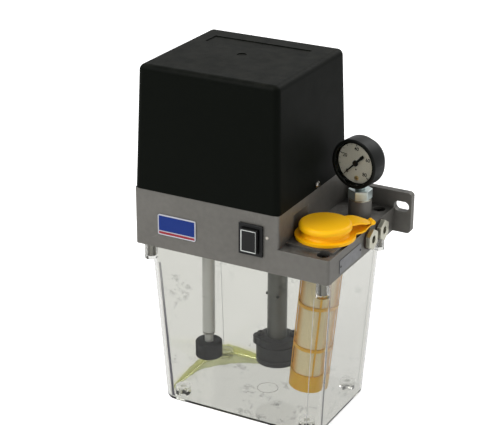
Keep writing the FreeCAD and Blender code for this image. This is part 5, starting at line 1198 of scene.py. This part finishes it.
@dataclass
class Reservoir(Assembly):
    """Clear reservoir: old oil, painted dark reflection lines and painted highlight lines in the corners, and
    the ring of the gate, in millimetres.

    Attributes:
        floor: height of the inner floor.
        shore: the open edge of the oil film, from the front of the left wall to the back wall.
        bank: the foot of the walls behind the film, in the same order, and how high the film has crept there.
        steps: sections of the film.
        middle: the place that the film's walls face.
        ripple: strength, waves and start of the unevenness of the creep.
        ragged: the same for the shore.
        flat: the film's section on the floor, as share of the way to the bank and height.
        wall: its section on the wall, as gap to the wall, share of the creep and height above that.
        base: half width, half depth and corner radius of the outer foot, and its middle along Y.
        lean: how far the walls lean out over their height, along X and Y.
        height: height of the walls.
        seam_end: how far below the walls' top the painted lines end.
        dark: the painted dark reflection lines: their corner's signs, degrees round it, and radius.
        pale: the painted highlight lines in the same way.
        gate: centre and radius of the gate's ring.
    """

    floor: float = 2.5
    shore: tuple[Pair, ...] = (
        (-79.9, -44.0), (-79.2, -21.0), (-78.4, -6.8), (-75.5, 6.3), (-69.3, 16.4), (-63.1, 23.8), (-56.4, 30.6),
        (-50.5, 36.0), (-43.6, 39.8), (-36.5, 43.1), (-26.0, 47.0), (-12.0, 52.0), (0.0, 54.4))
    bank: tuple[Point, ...] = (
        (-81.0, -46.0, 0.6), (-81.0, -26.0, 4.5), (-81.0, -8.0, 6.6), (-81.0, 10.0, 7.2), (-81.0, 26.0, 6.8),
        (-81.0, 43.5, 6.2), (-79.2, 50.3, 6.6), (-75.3, 54.0, 7.0), (-69.5, 55.4, 7.2), (-55.0, 55.4, 6.8),
        (-38.0, 55.4, 4.6), (-18.0, 55.4, 2.6), (2.0, 55.4, 0.5))
    steps: int = 72
    middle: Pair = (-20.0, 5.0)
    ripple: Point = (0.25, 19, 3.1)
    ragged: Point = (1.4, 26, 7.7)
    flat: tuple[Pair, ...] = ((0.0, 0.02), (0.0, 0.12), (0.5, 0.45))
    wall: tuple[Point, ...] = ((1.0, 0, 0.4), (0.45, 0, 0.9), (0.25, 0.6, 0), (0.12, 1, 0), (0.03, 1, 0),
                               (0.03, 0, 0.02))
    base: tuple[float, ...] = (83.5, 57.0, 14.0, 1.0)
    lean: Pair = (10.0, 7.5)
    height: float = 166.0
    seam_end: float = 18.0
    # Painted dark reflection lines and painted highlight lines in the corners.
    dark: tuple[tuple, ...] = (((-1, -1), 5, 0.85), ((-1, -1), 11, 0.85), ((1, -1), 82, 0.3), ((1, -1), 92, 0.2),
                               ((1, 1), 60, 0.3), ((-1, 1), 30, 0.22))
    pale: tuple[tuple, ...] = (((1, -1), 14, 0.36), ((-1, -1), 66, 0.3), ((1, 1), 20, 0.25))
    gate: Point = (1.0, 6.0, 10.2)

    @staticmethod
    def along(points: tuple[tuple[float, ...], ...], share: float) -> tuple[float, ...]:
        """Find the point at a share of the way along a list of points.

        Args:
            points: the list.
            share: from 0 at its first point to 1 at its last.

        Returns:
            The point.
        """
        place = share * (len(points) - 1)
        first = min(int(place), len(points) - 2)
        return tuple(a + (b - a) * (place - first) for a, b in zip(points[first], points[first + 1]))

    @staticmethod
    def waver(share: float, strength: float, waves: float, start: float) -> float:
        """Return a soft uneven value for a place along the film."""
        return strength * noise.noise(Vector((share * waves, start, 0)))

    def section(self, share: float) -> list[Point]:
        """Find the film's section.

        Args:
            share: the way along the film, from 0 at the front of the left wall to 1 at the back wall.

        Returns:
            The section's corners.
        """
        *foot, rise = self.along(self.bank, share)
        shore, bank = Vector(self.along(self.shore, share)), Vector(foot)
        rise *= 1 + self.waver(share, *self.ripple)
        inward = (Vector(self.middle) - bank).normalized()
        shore += inward * self.waver(share, *self.ragged)
        lean = inward * (-self.lean[0] / self.height * rise)
        corners = [(shore.lerp(bank, part), z) for part, z in self.flat]
        corners += [(bank + inward * gap + lean * part, rise * part + z) for gap, part, z in self.wall]
        return [(place.x, place.y, self.floor + z) for place, z in corners]

    def corner_point(self, side: tuple[int, int], angle: float, z: float, depth: float) -> Point:
        """Find a place in a rounded corner's wall.

        Args:
            side: the corner's signs along X and Y.
            angle: degrees round the corner from the face that looks along Y.
            z: height.
            depth: how deep below the outer face.

        Returns:
            The place.
        """
        half_x, half_y, radius, shift_y = self.base
        half_x += self.lean[0] * z / self.height
        half_y += self.lean[1] * z / self.height
        turn = math.radians(angle)
        return (side[0] * (half_x - radius + (radius - depth) * math.sin(turn)),
                side[1] * (half_y - radius + (radius - depth) * math.cos(turn)) + shift_y, z)

    def lines(self, painted_lines: tuple[tuple, ...], foot: float, depth: float, tip: float) -> Mesh:
        """Run thin painted lines, dark reflections and highlights, up the corners.

        Args:
            painted_lines: corner, angle and radius of each line.
            foot: height of their feet.
            depth: how deep below the outer face they lie.
            tip: radius of their heads as a share of that of their feet.

        Returns:
            The mesh.
        """
        ends = (foot, self.height - self.seam_end)
        return Shapes.join(Shapes.rod(*(self.corner_point(side, angle, z, depth) for z in ends), radius, tip)
                           for side, angle, radius in painted_lines)

    def dress(self) -> None:
        """Lay the oil film, run the painted dark reflections and highlights up the corners and raise the ring
        that the gate left.
        """
        film = bmesh.new()
        rows = [[film.verts.new([value * MM for value in corner]) for corner in self.section(i / self.steps)]
                for i in range(self.steps + 1)]
        MAKER.piece("oil_film", Shapes.loft(film, rows), Finishes.OIL, "reservoir", smooth=60.0)
        # Painted dark reflections and painted highlights run up the corners as thin rods.
        MAKER.piece("corner_dark_reflections", self.lines(self.dark, 4.0, 1.3, 0.45), Finishes.SEAM_DARK, "reservoir")
        MAKER.piece("corner_glints", self.lines(self.pale, 3.0, 0.5, 1.0), Finishes.SEAM_PALE, "reservoir")
        x, y, radius = self.gate
        foot, top = self.floor - 0.2, self.floor + 0.08
        ring = [(radius - 0.35, foot), (radius + 0.35, foot), (radius + 0.2, top), (radius - 0.2, top)]
        MAKER.piece("gate_ring", Shapes.moved(Shapes.lathe(ring, 48), shift(x, y, 0)), Finishes.CLEAR_TRIM,
                    "reservoir")


@dataclass
class Pump(Assembly):
    """Pump body, suction cover, float and the pin across the column, in millimetres.

    Attributes:
        pin: middle of the cross pin.
        turn: its direction in degrees.
        span: where the pin starts and ends along that direction.
        radius: the pin's radius.
        edge: the cut-back of its proud end.
    """

    rounds: Rounds = {"pump_body": 0.0006, "suction_cover": 0.0006, "level_float": 0.0004,
                      "float_stops": 0.0002, "shaft_coupling": 0.0004}
    pin: Point = (6.0, 15.0, 104.0)
    turn: float = 28.0
    span: Pair = (-11.2, -7.2)
    radius: float = 1.4
    edge: float = 0.3

    def build(self) -> None:
        """Put the pin, proud at its left end, into the column's cross hole, and round the nodes."""
        start, end = self.span
        rod = Shapes.lathe([(0, start), (self.radius - self.edge, start), (self.radius, start + self.edge),
                            (self.radius, end), (0, end)], 20)
        lay = shift(*self.pin) @ Matrix.Rotation(math.radians(self.turn), 4, "Z")
        pin = Shapes.moved(rod, lay @ Matrix.Rotation(math.pi / 2, 4, "Y"))
        MAKER.piece("cross_pin", pin, Finishes.DARK_STEEL, "pump_column")
        super().build()


@dataclass
class Motor(Assembly):
    """Motor inside the hood, in millimetres.

    Attributes:
        axis: the motor's axis.
        winding: inner and outer radius of the windings.
        ends: foot and height of the wound ends under and over the stator.
        coils: waves round each end.
        swell: height of the waves as a share of the radius.
    """

    rounds: Rounds = {"motor_stand": 0.0005, "motor_housing": 0.0006}
    axis: Pair = (6.0, 15.0)
    winding: Pair = (22.0, 28.0)
    ends: tuple[Pair, Pair] = ((226.5, 8.4), (281.1, 7.8))
    coils: int = 18
    swell: float = 0.03

    def dress(self) -> None:
        """Lay the wound ends of the coils over and under the stator."""
        inner, outer = self.winding
        rings = []
        for foot, height in self.ends:
            top, shoulder = foot + height, foot + height - 1.2
            ring = Shapes.lathe([(inner, foot + 1), (inner + 1, foot), (outer - 1, foot), (outer, foot + 1.2),
                                 (outer, shoulder), ((inner + outer) / 2, top), (inner, shoulder)], 72)
            for vertex in ring.verts:
                wave = 1 + self.swell * math.sin(math.atan2(vertex.co.y, vertex.co.x) * self.coils)
                vertex.co.x *= wave
                vertex.co.y *= wave
            rings.append(Shapes.moved(ring, shift(*self.axis, 0)))
        MAKER.piece("windings", Shapes.join(rings), Finishes.COPPER, "motor_stator")


@dataclass
class Controls(Assembly):
    """Control board, its parts and the cable entry, in millimetres.

    Attributes:
        back: the plane of the board's back.
        relays: size of each block on the board, and its middle along Y and Z.
        capacitors: place along Y and Z and radius of each can.
        can: height of the cans.
        terminals: number of the terminals' screws.
    """

    rounds: Rounds = {"cable_gland": 0.0005, "gland_nut": 0.0003, "terminal_block": 0.0003}
    back: float = -66.0
    relays: tuple[tuple[Point, Pair], ...] = (((15, 19, 15.5), (-30, 226)), ((15, 19, 15.5), (-6, 226)),
                                              ((9, 16, 6), (22, 218)), ((2.4, 10, 6.5), (18, 232)))
    capacitors: tuple[Point, ...] = ((34, 240, 5.0), (34, 226, 4.0), (8, 242, 4.0))
    can: float = 11.4
    terminals: int = 8

    def dress(self) -> None:
        """Place the board's parts and the terminals' screws."""
        relays = Shapes.join(Shapes.slab(size, (self.back - size[0] / 2, *middle), 0.5, 2)
                             for size, middle in self.relays)
        MAKER.piece("board_relays", relays, Finishes.CHIP, "control_board")
        cans = []
        for y, z, radius in self.capacitors:
            can = Shapes.lathe([(0, 0), (radius, 0), (radius, self.can - 0.4), (radius - 0.5, self.can + 0.2),
                                (radius - 1, self.can), (0, self.can)], 28)
            cans.append(Shapes.moved(can, shift(self.back, y, z) @ Matrix.Rotation(-math.pi / 2, 4, "Y")))
        MAKER.piece("board_capacitors", Shapes.join(cans), Finishes.CHIP, "control_board")
        low, high = box_of("terminal_block")
        pitch = (high.y - low.y) / self.terminals
        heads = Shapes.join(Shapes.moved(Shapes.knob(2.0, -0.3, 0.6, (0.4, 0.3), 20),
                                         shift((low.x + high.x) / 2, low.y + (i + 0.5) * pitch, high.z))
                            for i in range(self.terminals))
        MAKER.piece("terminal_screws", heads, Finishes.STEEL, "terminal_block")


def dress_nodes() -> None:
    """Give every CAD node its own finish."""
    for node, finish in NODE_FINISH.items():
        data = frame["nodes"][node].data
        data.materials.clear()
        data.materials.append(finish.build())


def main() -> None:
    """Build the looks in order."""
    logging.basicConfig(level=logging.INFO, format="%(name)s: %(message)s")
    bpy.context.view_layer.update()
    Studio().build()
    dress_nodes()
    for assembly in (Casting, FrontPanel, Filler, Gauge, Outlets, Reservoir, Pump, Motor, Controls):
        assembly().build()
        LOG.info("%s built", assembly.__name__)
    LOG.info("boxes written")


if __name__ == "__main__":
    main()
